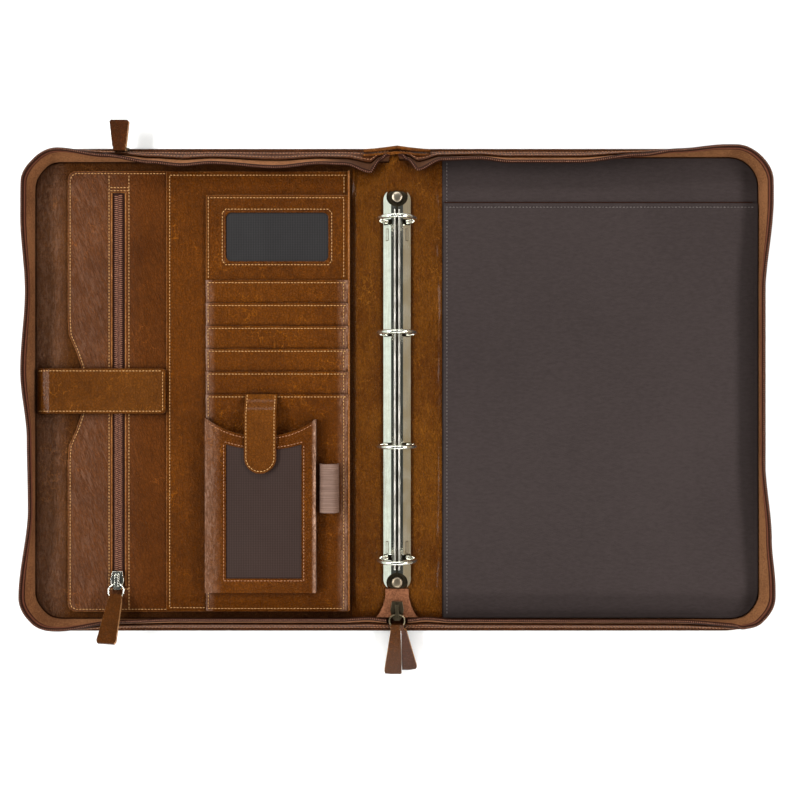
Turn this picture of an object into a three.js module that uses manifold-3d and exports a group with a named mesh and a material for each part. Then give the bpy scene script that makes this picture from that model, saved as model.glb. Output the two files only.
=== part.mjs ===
// An A4 leather document case with a zip round three sides, lying open on its back: pockets for
// cards, a phone and a pen in the left half, a writing-pad pocket in the right half, and a
// four-ring binder on the spine. Millimetres, +Z up, the spine along Y, the zip's slider at -Y,
// and the origin on the table under the middle of the spine.

import * as THREE from 'three';
import { mergeVertices } from 'three/addons/utils/BufferGeometryUtils.js';
import Module from 'manifold-3d';

const wasm = await Module();
wasm.setup();

// Clearance between pieces that touch.
const fit = 0.3;

// Cover: both padded boards and the spine, under one outer leather.
const coverWidth = 534;
const coverHeight = 349;
const cornerRadius = 28;
const coverThickness = 5;
const coverEdgeRound = 1.4;
const spinePeakHeight = 2.5;
const spinePeakHalf = 14;

// Linings on the cover, and the spine between them.
const liningThickness = 1;
const spineWidth = 64.8;
const spineSwell = 1.8;
const spineSwellFade = 24;
const hingeGap = 2.4;
const floorGap = 1.2;

// Gusset: a leather strip round each half, with the zip's tape behind it and its teeth on top.
const gussetHeight = 20;
const stripInset = 2.6;
const stripThickness = 1.5;
const stripShare = 0.6;
const tapeThickness = 1.2;
const teethHeight = 2.6;
const teethThickness = 2;
const teethGap = 0.4;

// Document pocket, the largest one in the left half.
const liningStrip = 24.3;
const pocketThickness = 1.4;
const pocketTopGap = 7.1;
const pocketBottomGap = 5.6;
const pocketCornerRadius = 6;
const scallopHalf = 50.5;
const scallopDepth = 11.2;
const scallopCentreY = -0.6;

// Zip pocket, a slot in the document pocket.
const slotWidth = 10.7;
const slotFromEdge = 31.5;
const slotTopGap = 15.9;
const slotBottomGap = 18.8;
const pocketTapeThickness = 0.8;
const coilWidth = 5.2;
const coilHeight = 1.5;

// Overlay and card column.
const overlayWidth = 131;
const overlayThickness = 1.2;
const cardWidth = 101.9;
const cardThickness = 1;
const cardTopGap = 17.7;
const layerStep = 0.8;
const idHeight = 61.5;
const windowWidth = 74;
const windowHeight = 35.7;
const windowTopGap = 12.7;
const windowThickness = 0.6;
const cardSlots = 5;
const slotPitch = 16.3;
const slotLeather = 1.2;
const slotRise = 1.5;
const slotTuck = 1.4;

// Phone pocket with its closing tab.
const phoneTopGap = 16.7;
const phoneBottomGap = 16.1;
const phoneWidth = 78.4;
const phoneDepth = 7;
const phoneLeather = 1.4;
const phoneMouthDip = 12;
const phoneWindowWidth = 54.2;
const phoneWindowFromLeft = 14.6;
const phoneWindowTopGap = 21.5;
const phoneWindowBottomGap = 9.8;
const tabWidth = 22.8;
const tabLength = 56;
const tabThickness = 2.2;
const tabFromLeft = 28;

// Pen loop of ribbed elastic.
const penWidth = 14;
const penHeight = 9;
const penLength = 34.6;
const penElastic = 1.2;
const penFromPhone = 2.2;
const penTopGap = 32.7;

// Strap across the document pocket's open edge.
const strapWidth = 32.4;
const strapThickness = 2.4;
const strapCentreY = -1;
const strapArch = 1.5;
const strapFromGusset = 2.8;
const strapOverlap = 0.2;

// Writing-pad pocket in the right half.
const padThickness = 1.2;
const padPocketTopGap = 33.4;
const padHingeGap = 1;

// Ring binder.
const housingWidth = 19.6;
const housingLength = 286;
const housingHeight = 6;
const housingWall = 1;
const housingSide = 2.2;
const housingRidge = 8.6;
const housingSlit = 1.2;
const housingCorner = 6.6;
const ringPitch = 80;
const ringRadius = 13;
const wireDiameter = 3;
const ringFootX = 6.6;
const bladeThickness = 1.1;
const bladeLift = 0.3;
const bladeGap = 0.5;
const ringSlotClearance = 0.5;
const ringSlotFromSide = 0.35;
const ringSlotDepth = 0.4;
const rivetFromEnd = 4.5;
const rivetRadius = 4.1;
const rivetHeight = 2.4;
const recessRadius = 7.4;
const recessMouthShare = 0.9;
const rivetPlate = 1.2;
const rivetPlateInset = 0.6;

// Zip sliders, their wire rings and their leather pulls.
const endTabWidth = 17;
const endTabFlare = 30;
const endTabThickness = 1.2;
const endTabRise = 2.5;
const sliderWidth = 9.6;
const sliderLength = 13.6;
const sliderThickness = 2.6;
const bridgeWidth = 2.4;
const bridgeHeight = 2.6;
const boreShare = 0.66;
const tapeFromSlider = 1.6;
const sliderFromWall = 0.6;
const tabUnderSlider = 1.5;
const pocketSliderDrop = 2.4;
const ringWire = 1.3;
const ringWidth = 12.2;
const ringLength = 9;
const mainRingDrop = 0.25;
const pocketRingRise = 0.2;
const pullLength = 37;
const pocketPullLength = 33;
const pullWidth = 12.8;
const pullThickness = 3;
const pullTop = 1.9;
const mainPullLift = 2;
const pocketPullClear = 0.4;
const pocketPullTurn = -0.07;
const outerPullLength = 20;
const outerPullPlace = 0.824;
const outerSliderFoot = 0.35;
const outerSliderTop = 3;
const outerSliderHeel = 2.4;

// Places and levels that follow from the sizes above.
const halfWidth = coverWidth / 2;
const halfHeight = coverHeight / 2;
const spineHalf = spineWidth / 2;
const liningBase = coverThickness + fit;
const liningTop = liningBase + liningThickness;
const leastFoot = stripInset + stripThickness + fit + tapeThickness;
const topRun = halfWidth - cornerRadius;

// Where the gusset leans. leg counts the way round one half: 0 to 1 along the top from the spine,
// 1 to 2 round the corner, 2 to 3 down the side, 3 to 4 round the corner, 4 to 5 back to the spine.
// lean is outwards and reach is upwards along the slope, as shares of the gusset's height; foot is
// how far the wall's inner foot stands in from where the strip needs it, in the same shares.
const leftWall = [
  { leg: 0.024, lean: -0.05, reach: 0.25, foot: 0.2 },
  { leg: 0.05, lean: -0.6, reach: 0.55, foot: 0.2 },
  { leg: 0.08, lean: -0.84, reach: 1, foot: 0.2 },
  { leg: 0.154, lean: -0.57, reach: 1, foot: 0.2 },
  { leg: 0.228, lean: -0.54, reach: 1, foot: 0.22 },
  { leg: 0.361, lean: -0.68, reach: 1, foot: 0.22 },
  { leg: 0.553, lean: -0.53, reach: 1, foot: 0.22 },
  { leg: 0.641, lean: -0.61, reach: 1, foot: 0.22 },
  { leg: 0.728, lean: -0.51, reach: 1, foot: 0.22 },
  { leg: 0.86, lean: -0.26, reach: 1, foot: 0.22 },
  { leg: 1, lean: -0.02, reach: 1, foot: 0.22 },
  { leg: 1.5, lean: -0.05, reach: 1, foot: 0.11 },
  { leg: 2.083, lean: 0.1, reach: 1, foot: 0 },
  { leg: 2.262, lean: -0.08, reach: 1, foot: 0 },
  { leg: 2.454, lean: 0.1, reach: 1, foot: 0 },
  { leg: 2.621, lean: -0.15, reach: 1, foot: 0 },
  { leg: 2.788, lean: -0.19, reach: 1, foot: 0 },
  { leg: 3, lean: 0.17, reach: 1, foot: 0 },
  { leg: 3.5, lean: 0.08, reach: 1, foot: 0.08 },
  { leg: 4, lean: -0.02, reach: 1, foot: 0.17 },
  { leg: 4.18, lean: -0.36, reach: 0.86, foot: 0.17 },
  { leg: 4.34, lean: -0.4, reach: 1, foot: 0.17 },
  { leg: 4.84, lean: -0.4, reach: 1, foot: 0.17 },
  { leg: 4.916, lean: -0.5, reach: 0.85, foot: 0.17 },
  { leg: 4.967, lean: -0.5, reach: 0.65, foot: 0.17 },
  { leg: 5, lean: -0.5, reach: 0.6, foot: 0.17 },
];
const rightWall = [
  { leg: 0.006, lean: -0.05, reach: 0.25, foot: 0.12 },
  { leg: 0.03, lean: -0.55, reach: 0.55, foot: 0.12 },
  { leg: 0.062, lean: -0.76, reach: 1, foot: 0.12 },
  { leg: 0.133, lean: -0.4, reach: 1, foot: 0.12 },
  { leg: 0.244, lean: -0.36, reach: 1, foot: 0.04 },
  { leg: 0.333, lean: -0.48, reach: 1, foot: 0.04 },
  { leg: 0.539, lean: -0.48, reach: 1, foot: 0.04 },
  { leg: 0.715, lean: -0.24, reach: 1, foot: 0.04 },
  { leg: 0.83, lean: -0.06, reach: 1, foot: 0.04 },
  { leg: 0.968, lean: 0.1, reach: 1, foot: 0.04 },
  { leg: 1.5, lean: 0.04, reach: 1, foot: 0.03 },
  { leg: 2.037, lean: 0.1, reach: 1, foot: 0.02 },
  { leg: 2.274, lean: -0.22, reach: 1, foot: 0.02 },
  { leg: 2.67, lean: -0.22, reach: 1, foot: 0.02 },
  { leg: 2.86, lean: 0.02, reach: 1, foot: 0.02 },
  { leg: 2.98, lean: 0.17, reach: 1, foot: 0.02 },
  { leg: 3.5, lean: 0.05, reach: 1, foot: 0.09 },
  { leg: 3.85, lean: -0.07, reach: 1, foot: 0.15 },
  { leg: 4.2, lean: -0.36, reach: 1, foot: 0.17 },
  { leg: 4.84, lean: -0.38, reach: 1, foot: 0.17 },
  { leg: 4.916, lean: -0.5, reach: 0.85, foot: 0.17 },
  { leg: 4.967, lean: -0.5, reach: 0.65, foot: 0.17 },
  { leg: 5, lean: -0.5, reach: 0.6, foot: 0.17 },
];

const leather = { color: 0x7a4216, roughness: 0.42, metalness: 0 };
const darkLeather = { color: 0x5a2c10, roughness: 0.5, metalness: 0 };
const tape = { color: 0x82553c, roughness: 0.9, metalness: 0 };
const coil = { color: 0x785550, roughness: 0.6, metalness: 0 };
const cloth = { color: 0x483e3c, roughness: 0.95, metalness: 0 };
const film = { color: 0x3c3c3e, roughness: 0.35, metalness: 0 };
const elastic = { color: 0x8c695f, roughness: 0.85, metalness: 0 };
const nickel = { color: 0xcfccc0, roughness: 0.2, metalness: 1 };
const oldNickel = { color: 0x6f6a5c, roughness: 0.4, metalness: 1 };

const documentCase = new THREE.Group();

function add(name, geometry, look) {
  const solid = outward(geometry);
  const mesh = new THREE.Mesh(solid, new THREE.MeshStandardMaterial(look));
  mesh.name = name;
  documentCase.add(mesh);
  return mesh;
}

// A closed surface keeps only its positions and faces out, whichever way it was wound.
function outward(geometry) {
  const bare = new THREE.BufferGeometry();
  bare.setAttribute('position', geometry.getAttribute('position').clone());
  if (geometry.index) bare.setIndex(geometry.index.clone());
  const merged = mergeVertices(bare, 1e-4);
  const position = merged.getAttribute('position');
  const kept = [];
  let volume = 0;
  const corners = [new THREE.Vector3(), new THREE.Vector3(), new THREE.Vector3()];
  for (let i = 0; i < merged.index.count; i += 3) {
    const face = [0, 1, 2].map((k) => merged.index.getX(i + k));
    if (new Set(face).size < 3) continue;
    corners.forEach((corner, k) => corner.fromBufferAttribute(position, face[k]));
    volume += corners[0].dot(corners[1].clone().cross(corners[2])) / 6;
    kept.push(face);
  }
  merged.setIndex(kept.flatMap(([a, b, c]) => (volume > 0 ? [a, b, c] : [a, c, b])));
  merged.computeVertexNormals();
  return merged;
}

function toManifold(geometry) {
  const solid = outward(geometry);
  return new wasm.Manifold(
    new wasm.Mesh({
      numProp: 3,
      vertProperties: new Float32Array(solid.getAttribute('position').array),
      triVerts: new Uint32Array(solid.index.array),
    }),
  );
}

function fromManifold(solid) {
  const mesh = solid.getMesh();
  const geometry = new THREE.BufferGeometry();
  geometry.setAttribute('position', new THREE.BufferAttribute(mesh.vertProperties, 3));
  geometry.setIndex(new THREE.BufferAttribute(mesh.triVerts, 1));
  return geometry;
}

function cut(geometry, ...tools) {
  return fromManifold(tools.reduce((solid, tool) => solid.subtract(toManifold(tool)), toManifold(geometry)));
}

function join(geometry, ...others) {
  return fromManifold(others.reduce((solid, other) => solid.add(toManifold(other)), toManifold(geometry)));
}

// A flat piece of the outline's shape between two levels.
function plate(outline, base, thickness, holes = []) {
  const shape = new THREE.Shape(outline);
  shape.holes = holes.map((hole) => new THREE.Path(hole));
  const geometry = new THREE.ExtrudeGeometry(shape, { depth: thickness, bevelEnabled: false });
  return geometry.translate(0, 0, base);
}

function rectangle(left, right, bottom, top) {
  return [
    new THREE.Vector2(left, bottom),
    new THREE.Vector2(right, bottom),
    new THREE.Vector2(right, top),
    new THREE.Vector2(left, top),
  ];
}

// A rectangle whose corners are rounded with the given radii: lower left, lower right, upper
// right, upper left.
function rounded(left, right, bottom, top, radii, steps = 4) {
  const centres = [
    [left, bottom, 1, 1, Math.PI],
    [right, bottom, -1, 1, 1.5 * Math.PI],
    [right, top, -1, -1, 0],
    [left, top, 1, -1, 0.5 * Math.PI],
  ];
  return centres.flatMap(([x, y, sx, sy, start], k) => {
    const radius = radii[k];
    if (!radius) return [new THREE.Vector2(x, y)];
    return arc(x + sx * radius, y + sy * radius, radius, start, start + Math.PI / 2, steps);
  });
}

function arc(x, y, radius, from, to, steps) {
  return Array.from({ length: steps + 1 }, (_, i) => {
    const angle = from + ((to - from) * i) / steps;
    return new THREE.Vector2(x + radius * Math.cos(angle), y + radius * Math.sin(angle));
  });
}

// A solid through a row of sections, each an equal number of points and closed on itself.
function loft(sections, flatSection) {
  const count = sections[0].length;
  const positions = sections.flatMap((section) => section.flatMap((point) => point.toArray()));
  const index = [];
  for (let s = 0; s < sections.length - 1; s += 1) {
    for (let k = 0; k < count; k += 1) {
      const a = s * count + k;
      const b = s * count + ((k + 1) % count);
      index.push(a, b, b + count, a, b + count, a + count);
    }
  }
  const lid = THREE.ShapeUtils.triangulateShape(flatSection, []);
  const turn = THREE.ShapeUtils.area(flatSection) > 0 ? 1 : -1;
  const last = (sections.length - 1) * count;
  lid.forEach(([a, b, c]) => {
    index.push(...(turn > 0 ? [a, c, b] : [a, b, c]));
    index.push(...(turn > 0 ? [a + last, b + last, c + last] : [a + last, c + last, b + last]));
  });
  const geometry = new THREE.BufferGeometry();
  geometry.setAttribute('position', new THREE.Float32BufferAttribute(positions, 3));
  geometry.setIndex(index);
  return geometry;
}

// A flat band of leather or tape through rows along its length: its two edges and its underside.
function ribbon(rows, thickness, place) {
  const sections = rows.map(({ at, low, high, level }) => [
    place(at, low, level),
    place(at, high, level),
    place(at, high, level + thickness),
    place(at, low, level + thickness),
  ]);
  return loft(sections, rectangle(0, 1, 0, 1));
}

function between(rows, leg, column) {
  const last = rows.findIndex((row) => row.leg >= leg);
  if (last === 0) return rows[0][column];
  if (last < 0) return rows[rows.length - 1][column];
  const [from, to] = [rows[last - 1], rows[last]];
  const ease = THREE.MathUtils.smoothstep(leg, from.leg, to.leg);
  return THREE.MathUtils.lerp(from[column], to[column], ease);
}

// The cover's edge at a place on the way round, and the direction out of it.
function edgeAt(side, leg) {
  const corner = { x: topRun, y: halfHeight - cornerRadius };
  const part = Math.min(Math.floor(leg), 4);
  const share = leg - part;
  const turned = (angle, up) => ({
    x: side * (corner.x + cornerRadius * Math.cos(angle)),
    y: up * corner.y + cornerRadius * Math.sin(angle),
    nx: side * Math.cos(angle),
    ny: Math.sin(angle),
  });
  if (part === 0) return { x: side * share * topRun, y: halfHeight, nx: 0, ny: 1 };
  if (part === 1) return turned((Math.PI / 2) * (1 - share), 1);
  if (part === 2) return { x: side * halfWidth, y: corner.y * (1 - 2 * share), nx: side, ny: 0 };
  if (part === 3) return turned((-Math.PI / 2) * share, -1);
  return { x: side * (1 - share) * topRun, y: -halfHeight, nx: 0, ny: -1 };
}

// The gusset's section at a place on the way round: u is out from the cover's edge, v is up.
function wallAt(rows, leg) {
  const lean = between(rows, leg, 'lean');
  const reach = gussetHeight * between(rows, leg, 'reach');
  const up = new THREE.Vector2(lean, Math.sqrt(1 - lean * lean));
  const inward = new THREE.Vector2(-up.y, up.x);
  const root = new THREE.Vector2(-stripInset, liningBase);
  const tapeReach = reach - teethHeight - teethGap;
  const at = (along, across) =>
    root.clone().addScaledVector(up, along).addScaledVector(inward, across);
  const foot = leastFoot + gussetHeight * between(rows, leg, 'foot');
  const behind = stripThickness + fit;
  const stripReach = stripShare * tapeReach;
  const teethMiddle = behind + tapeThickness / 2;
  return {
    foot,
    strip: [
      root,
      at(stripReach, 0),
      at(stripReach, stripThickness),
      new THREE.Vector2(-stripInset - stripThickness, liningBase),
    ],
    tape: [
      new THREE.Vector2(-foot, liningBase),
      at(stripReach, behind + tapeThickness),
      at(tapeReach, behind + tapeThickness),
      at(tapeReach, behind),
      at(stripReach, behind),
      new THREE.Vector2(-foot + tapeThickness, liningBase),
    ],
    teeth: [
      at(reach - teethHeight, teethMiddle - teethThickness / 2),
      at(reach, teethMiddle - teethThickness / 2),
      at(reach, teethMiddle + teethThickness / 2),
      at(reach - teethHeight, teethMiddle + teethThickness / 2),
    ],
  };
}

// Places on the way round one half: the rows of its table, and more in each leg between them.
function stations(rows, first, last) {
  const legSteps = [16, 6, 14, 6, 14];
  const places = legSteps.flatMap((steps, leg) =>
    Array.from({ length: steps }, (_, i) => leg + i / steps),
  );
  const near = (leg) => rows.some((row) => Math.abs(row.leg - leg) < 0.02);
  return [first, ...rows.map((row) => row.leg), ...places.filter((leg) => !near(leg)), last]
    .filter((leg) => leg >= first && leg <= last)
    .sort((a, b) => a - b)
    .filter((leg, i, all) => i === 0 || leg - all[i - 1] > 1e-6);
}

function wall(side, rows, piece, first, last) {
  const sections = stations(rows, first, last).map((leg) => {
    const edge = edgeAt(side, leg);
    return wallAt(rows, leg)[piece].map(
      ({ x: u, y: v }) => new THREE.Vector3(edge.x + edge.nx * u, edge.y + edge.ny * u, v),
    );
  });
  return loft(sections, wallAt(rows, first)[piece]);
}

// The outline of one tray's floor, inside the gusset's foot, from a given distance off the spine.
function trayOutline(side, rows, from) {
  const first = from / topRun;
  const last = 5 - first;
  const outline = stations(rows, first, last).map((leg) => {
    const edge = edgeAt(side, leg);
    const inset = wallAt(rows, leg).foot + floorGap;
    return new THREE.Vector2(edge.x - edge.nx * inset, edge.y - edge.ny * inset);
  });
  return side < 0 ? outline : outline.reverse();
}

function footAt(rows, leg) {
  return leastFoot + gussetHeight * between(rows, leg, 'foot');
}

// Cover.
const cornerY = halfHeight - cornerRadius;
const coverOutline = [
  ...arc(topRun, cornerY, cornerRadius, 0, Math.PI / 2, 8),
  new THREE.Vector2(spinePeakHalf, halfHeight),
  new THREE.Vector2(0, halfHeight + spinePeakHeight),
  new THREE.Vector2(-spinePeakHalf, halfHeight),
  ...arc(-topRun, cornerY, cornerRadius, Math.PI / 2, Math.PI, 8),
  ...arc(-topRun, -cornerY, cornerRadius, Math.PI, 1.5 * Math.PI, 8),
  ...arc(topRun, -cornerY, cornerRadius, 1.5 * Math.PI, 2 * Math.PI, 8),
];

add(
  'outer_cover',
  new THREE.ExtrudeGeometry(new THREE.Shape(coverOutline), {
    depth: coverThickness - 2 * coverEdgeRound,
    bevelThickness: coverEdgeRound,
    bevelSize: coverEdgeRound,
    bevelOffset: -coverEdgeRound,
    bevelSegments: 2,
  }).translate(0, 0, coverEdgeRound),
  darkLeather,
);

// Linings of the two trays, and the spine's leather between them, swelling on both sides of the
// ring binder.
const leftLiningOutline = trayOutline(-1, leftWall, spineHalf + fit);
add('left_lining', plate(leftLiningOutline, liningBase, liningThickness), leather);
const rightLiningOutline = trayOutline(1, rightWall, spineHalf + fit);
add('right_lining', plate(rightLiningOutline, liningBase, liningThickness), cloth);

const tongueLeft = -leftWall[0].leg * topRun + fit;
const tongueRight = rightWall[0].leg * topRun - fit;
const spineSwells = [
  { across: -1, rise: 0 },
  { across: -0.9, rise: 0.9 },
  { across: -0.8, rise: 0.6 },
  { across: -0.6, rise: 1 },
  { across: -0.4, rise: 0.4 },
  { across: -0.32, rise: 0 },
  { across: 0.32, rise: 0 },
  { across: 0.4, rise: 0.4 },
  { across: 0.6, rise: 1 },
  { across: 0.85, rise: 0.7 },
  { across: 1, rise: 0 },
];
const spineRows = [
  ...spineSwells.map(({ across, rise }) => ({ x: across * spineHalf, rise: rise * spineSwell })),
  { x: tongueLeft - 0.1, rise: 0 },
  { x: tongueLeft, rise: 0 },
  { x: tongueRight, rise: 0 },
  { x: tongueRight + 0.1, rise: 0 },
].sort((a, b) => a.x - b.x);
const spineSection = ({ x, rise }) => {
  const rows = x < 0 ? leftWall : rightWall;
  const onTongue = x >= tongueLeft && x <= tongueRight;
  const leg = Math.abs(x) / topRun;
  const top = halfHeight - (onTongue ? stripInset : footAt(rows, leg) + floorGap);
  const bottom = -halfHeight + footAt(rows, 5 - leg) + floorGap;
  return [
    new THREE.Vector3(x, bottom, liningBase),
    new THREE.Vector3(x, top, liningBase),
    new THREE.Vector3(x, top, liningTop),
    new THREE.Vector3(x, top - spineSwellFade, liningTop + rise),
    new THREE.Vector3(x, bottom + spineSwellFade, liningTop + rise),
    new THREE.Vector3(x, bottom, liningTop),
  ];
};
const spineLid = spineSection({ x: -spineHalf, rise: liningThickness });
add(
  'spine_leather',
  loft(
    spineRows.map(spineSection),
    spineLid.map(({ y, z }) => new THREE.Vector2(y, z)),
  ),
  leather,
);

// Gussets with their tapes and teeth.
const tapeEnd = 5 - (sliderWidth / 2 + ringWire + tapeFromSlider) / topRun;
const stripEnd = 5 - fit / 2 / topRun;
for (const [name, side, rows] of [['left', -1, leftWall], ['right', 1, rightWall]]) {
  const first = rows[0].leg;
  add(`gusset_strip_${name}`, wall(side, rows, 'strip', first, stripEnd), leather);
  add(`zip_tape_${name}`, wall(side, rows, 'tape', first, tapeEnd), tape);
  add(`zip_teeth_${name}`, wall(side, rows, 'teeth', first, tapeEnd), coil);
}

// Document pocket, with its scalloped open edge towards the side of the case.
const trayTop = halfHeight - footAt(leftWall, 0.5);
const trayBottom = -halfHeight + footAt(leftWall, 4.5);
const trayLeft = -halfWidth + footAt(leftWall, 2.5);
const pocketLeft = trayLeft + liningStrip;
const pocketRight = -spineHalf - hingeGap;
const pocketTop = trayTop - pocketTopGap;
const pocketBottom = trayBottom + pocketBottomGap;
const pocketBase = liningTop + fit;
const pocketFace = pocketBase + pocketThickness;
const scallop = [
  { along: -1, deep: 0 },
  { along: -0.79, deep: 0.07 },
  { along: -0.55, deep: 0.55 },
  { along: -0.34, deep: 0.87 },
  { along: 0, deep: 1 },
  { along: 0.34, deep: 0.87 },
  { along: 0.55, deep: 0.55 },
  { along: 0.79, deep: 0.07 },
  { along: 1, deep: 0 },
].reverse();
const pocketCorners = [pocketCornerRadius, 0, 0, pocketCornerRadius];
const pocketOutline = [
  ...rounded(pocketLeft, pocketRight, pocketBottom, pocketTop, pocketCorners),
  ...scallop.map(
    ({ along, deep }) =>
      new THREE.Vector2(pocketLeft + deep * scallopDepth, scallopCentreY + along * scallopHalf),
  ),
];
const slotLeft = pocketLeft + slotFromEdge;
const slotTop = pocketTop - slotTopGap;
const slotBottom = pocketBottom + slotBottomGap;
const slotOutline = rectangle(slotLeft, slotLeft + slotWidth, slotBottom, slotTop);
add(
  'document_pocket',
  plate(pocketOutline, pocketBase, pocketThickness, [slotOutline.slice().reverse()]),
  leather,
);

// Zip of the pocket behind it: its tape fills the slot, and its coil runs down the middle.
const slotMiddle = slotLeft + slotWidth / 2;
const tapeBottom = slotBottom + fit;
const pocketZipLength = slotTop - fit - tapeBottom;
const zipHalf = slotWidth / 2 - fit;
const coilBase = pocketBase + pocketTapeThickness;
const coilTop = coilBase + coilHeight;
const zipSection = [
  new THREE.Vector2(-zipHalf, pocketBase),
  new THREE.Vector2(zipHalf, pocketBase),
  new THREE.Vector2(zipHalf, coilBase),
  new THREE.Vector2(coilWidth / 2, coilBase),
  new THREE.Vector2(coilWidth / 4, coilTop),
  new THREE.Vector2(-coilWidth / 4, coilTop),
  new THREE.Vector2(-coilWidth / 2, coilBase),
  new THREE.Vector2(-zipHalf, coilBase),
];
add('pocket_zip', alongY(zipSection, slotMiddle, tapeBottom, pocketZipLength), coil);

// A section in X and Z, carried along +Y from a given place.
function alongY(section, x, y, length) {
  const geometry = new THREE.ExtrudeGeometry(new THREE.Shape(section), {
    depth: length,
    bevelEnabled: false,
  });
  return geometry.rotateX(Math.PI / 2).translate(x, y + length, 0);
}

// Overlay and card column.
const overlayBase = pocketFace + fit;
const overlayFace = overlayBase + overlayThickness;
const overlayLeft = pocketRight - overlayWidth;
add(
  'overlay_panel',
  plate(
    rectangle(overlayLeft, pocketRight, pocketBottom + layerStep, pocketTop - layerStep),
    overlayBase,
    overlayThickness,
  ),
  leather,
);

const cardLeft = pocketRight - cardWidth;
const cardBottom = pocketBottom + 2 * layerStep;
const cardTop = pocketTop - cardTopGap;
const cardBase = overlayFace + fit;
const cardFace = cardBase + cardThickness;
add(
  'card_panel',
  plate(rectangle(cardLeft, pocketRight, cardBottom, cardTop), cardBase, cardThickness),
  leather,
);

const slotBase = cardFace + fit;
const slotFace = slotBase + slotLeather;
const slotLip = slotFace + slotRise;
const firstSlot = cardTop - idHeight;
const windowMiddle = (cardLeft + pocketRight) / 2;
const windowTop = cardTop - windowTopGap;
const windowHole = rectangle(
  windowMiddle - windowWidth / 2,
  windowMiddle + windowWidth / 2,
  windowTop - windowHeight,
  windowTop,
);
add(
  'id_frame',
  plate(
    rectangle(cardLeft, pocketRight, firstSlot + fit, cardTop - layerStep),
    slotBase,
    slotLeather,
    [windowHole.slice().reverse()],
  ),
  leather,
);
add(
  'id_window',
  plate(
    rectangle(
      windowHole[0].x + fit,
      windowHole[1].x - fit,
      windowHole[0].y + fit,
      windowHole[2].y - fit,
    ),
    slotBase,
    windowThickness,
  ),
  film,
);

// Card slots overlap like shingles: the lip of each stands over the foot of the one above it.
const lipAt = (n) => firstSlot - n * slotPitch;
function shingle(top, foot, bottom) {
  const section = [
    new THREE.Vector2(top, slotLip - slotLeather),
    new THREE.Vector2(top, slotLip),
    new THREE.Vector2(foot, slotFace),
    new THREE.Vector2(bottom, slotFace),
    new THREE.Vector2(bottom, slotBase),
    new THREE.Vector2(foot, slotBase),
  ];
  return alongX(section, cardLeft, cardWidth);
}

// A section in Y and Z, carried along +X from a given place.
function alongX(section, x, length) {
  const geometry = new THREE.ExtrudeGeometry(new THREE.Shape(section), {
    depth: length,
    bevelEnabled: false,
  });
  return geometry.rotateX(Math.PI / 2).rotateZ(Math.PI / 2).translate(x, 0, 0);
}

for (let n = 0; n < cardSlots; n += 1) {
  const foot = lipAt(n + 1) + slotTuck;
  add(`card_slot_${n + 1}`, shingle(lipAt(n), foot, lipAt(n + 1) + fit), leather);
}
const lastLip = lipAt(cardSlots);
add('lower_card_panel', shingle(lastLip, lastLip - slotPitch, cardBottom), leather);

// Phone pocket: a leather box with a dipped mouth at the top and a window in its face.
const phoneBase = slotFace + fit;
const phoneFace = phoneBase + phoneDepth;
const phoneLeft = cardLeft + layerStep;
const phoneRight = phoneLeft + phoneWidth;
const phoneTop = lastLip - phoneTopGap;
const phoneBottom = pocketBottom + phoneBottomGap;
const mouth = [
  { across: 1, dip: 0.1 },
  { across: 0.72, dip: 0.75 },
  { across: 0.5, dip: 1 },
  { across: 0.28, dip: 0.75 },
  { across: 0, dip: 0 },
];
const phoneOutline = [
  new THREE.Vector2(phoneLeft, phoneBottom),
  new THREE.Vector2(phoneRight, phoneBottom),
  ...mouth.map(
    ({ across, dip }) =>
      new THREE.Vector2(phoneLeft + across * phoneWidth, phoneTop - dip * phoneMouthDip),
  ),
];
const phoneWindowLeft = phoneLeft + phoneWindowFromLeft;
const phoneWindowHole = rectangle(
  phoneWindowLeft,
  phoneWindowLeft + phoneWindowWidth,
  phoneBottom + phoneWindowBottomGap,
  phoneTop - phoneWindowTopGap,
);
const phoneHollow = rectangle(
  phoneLeft + phoneLeather,
  phoneRight - phoneLeather,
  phoneBottom + phoneLeather,
  phoneTop + phoneLeather,
);
add(
  'phone_pocket',
  cut(
    plate(phoneOutline, phoneBase, phoneDepth),
    plate(phoneHollow, phoneBase - 1, phoneDepth - phoneLeather + 1),
    plate(phoneWindowHole, phoneBase, phoneDepth + 1),
  ),
  leather,
);
add(
  'phone_window',
  plate(
    rectangle(
      phoneWindowHole[0].x + fit,
      phoneWindowHole[1].x - fit,
      phoneWindowHole[0].y + fit,
      phoneWindowHole[2].y - fit,
    ),
    phoneFace - phoneLeather,
    windowThickness,
  ),
  film,
);

// Closing tab: it comes out over the lowest card slot's lip and lies on the pocket's face.
const tabMiddle = phoneLeft + tabFromLeft + tabWidth / 2;
const tabBase = slotLip + fit;
const tabRest = phoneFace + fit;
const tabRamp = phoneTopGap + phoneMouthDip;
const tabRound = tabWidth / 2;
const tabRows = [
  ...[0, 0.1, 0.22, 0.34, 0.44, 0.52].map((share) => ({
    down: share * tabRamp,
    half: 1,
    rise: THREE.MathUtils.smoothstep(share, 0, 0.52),
  })),
  ...[0, 0.35, 0.6, 0.8, 0.92, 0.985].map((share) => ({
    down: tabLength - tabRound * (1 - share),
    half: Math.sqrt(1 - share * share),
    rise: 1,
  })),
].map(({ down, half, rise }) => ({
  at: lastLip - down,
  low: tabMiddle - half * tabRound,
  high: tabMiddle + half * tabRound,
  level: THREE.MathUtils.lerp(tabBase, tabRest, rise),
}));
add('phone_tab', ribbon(tabRows, tabThickness, (y, x, z) => new THREE.Vector3(x, y, z)), leather);

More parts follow.
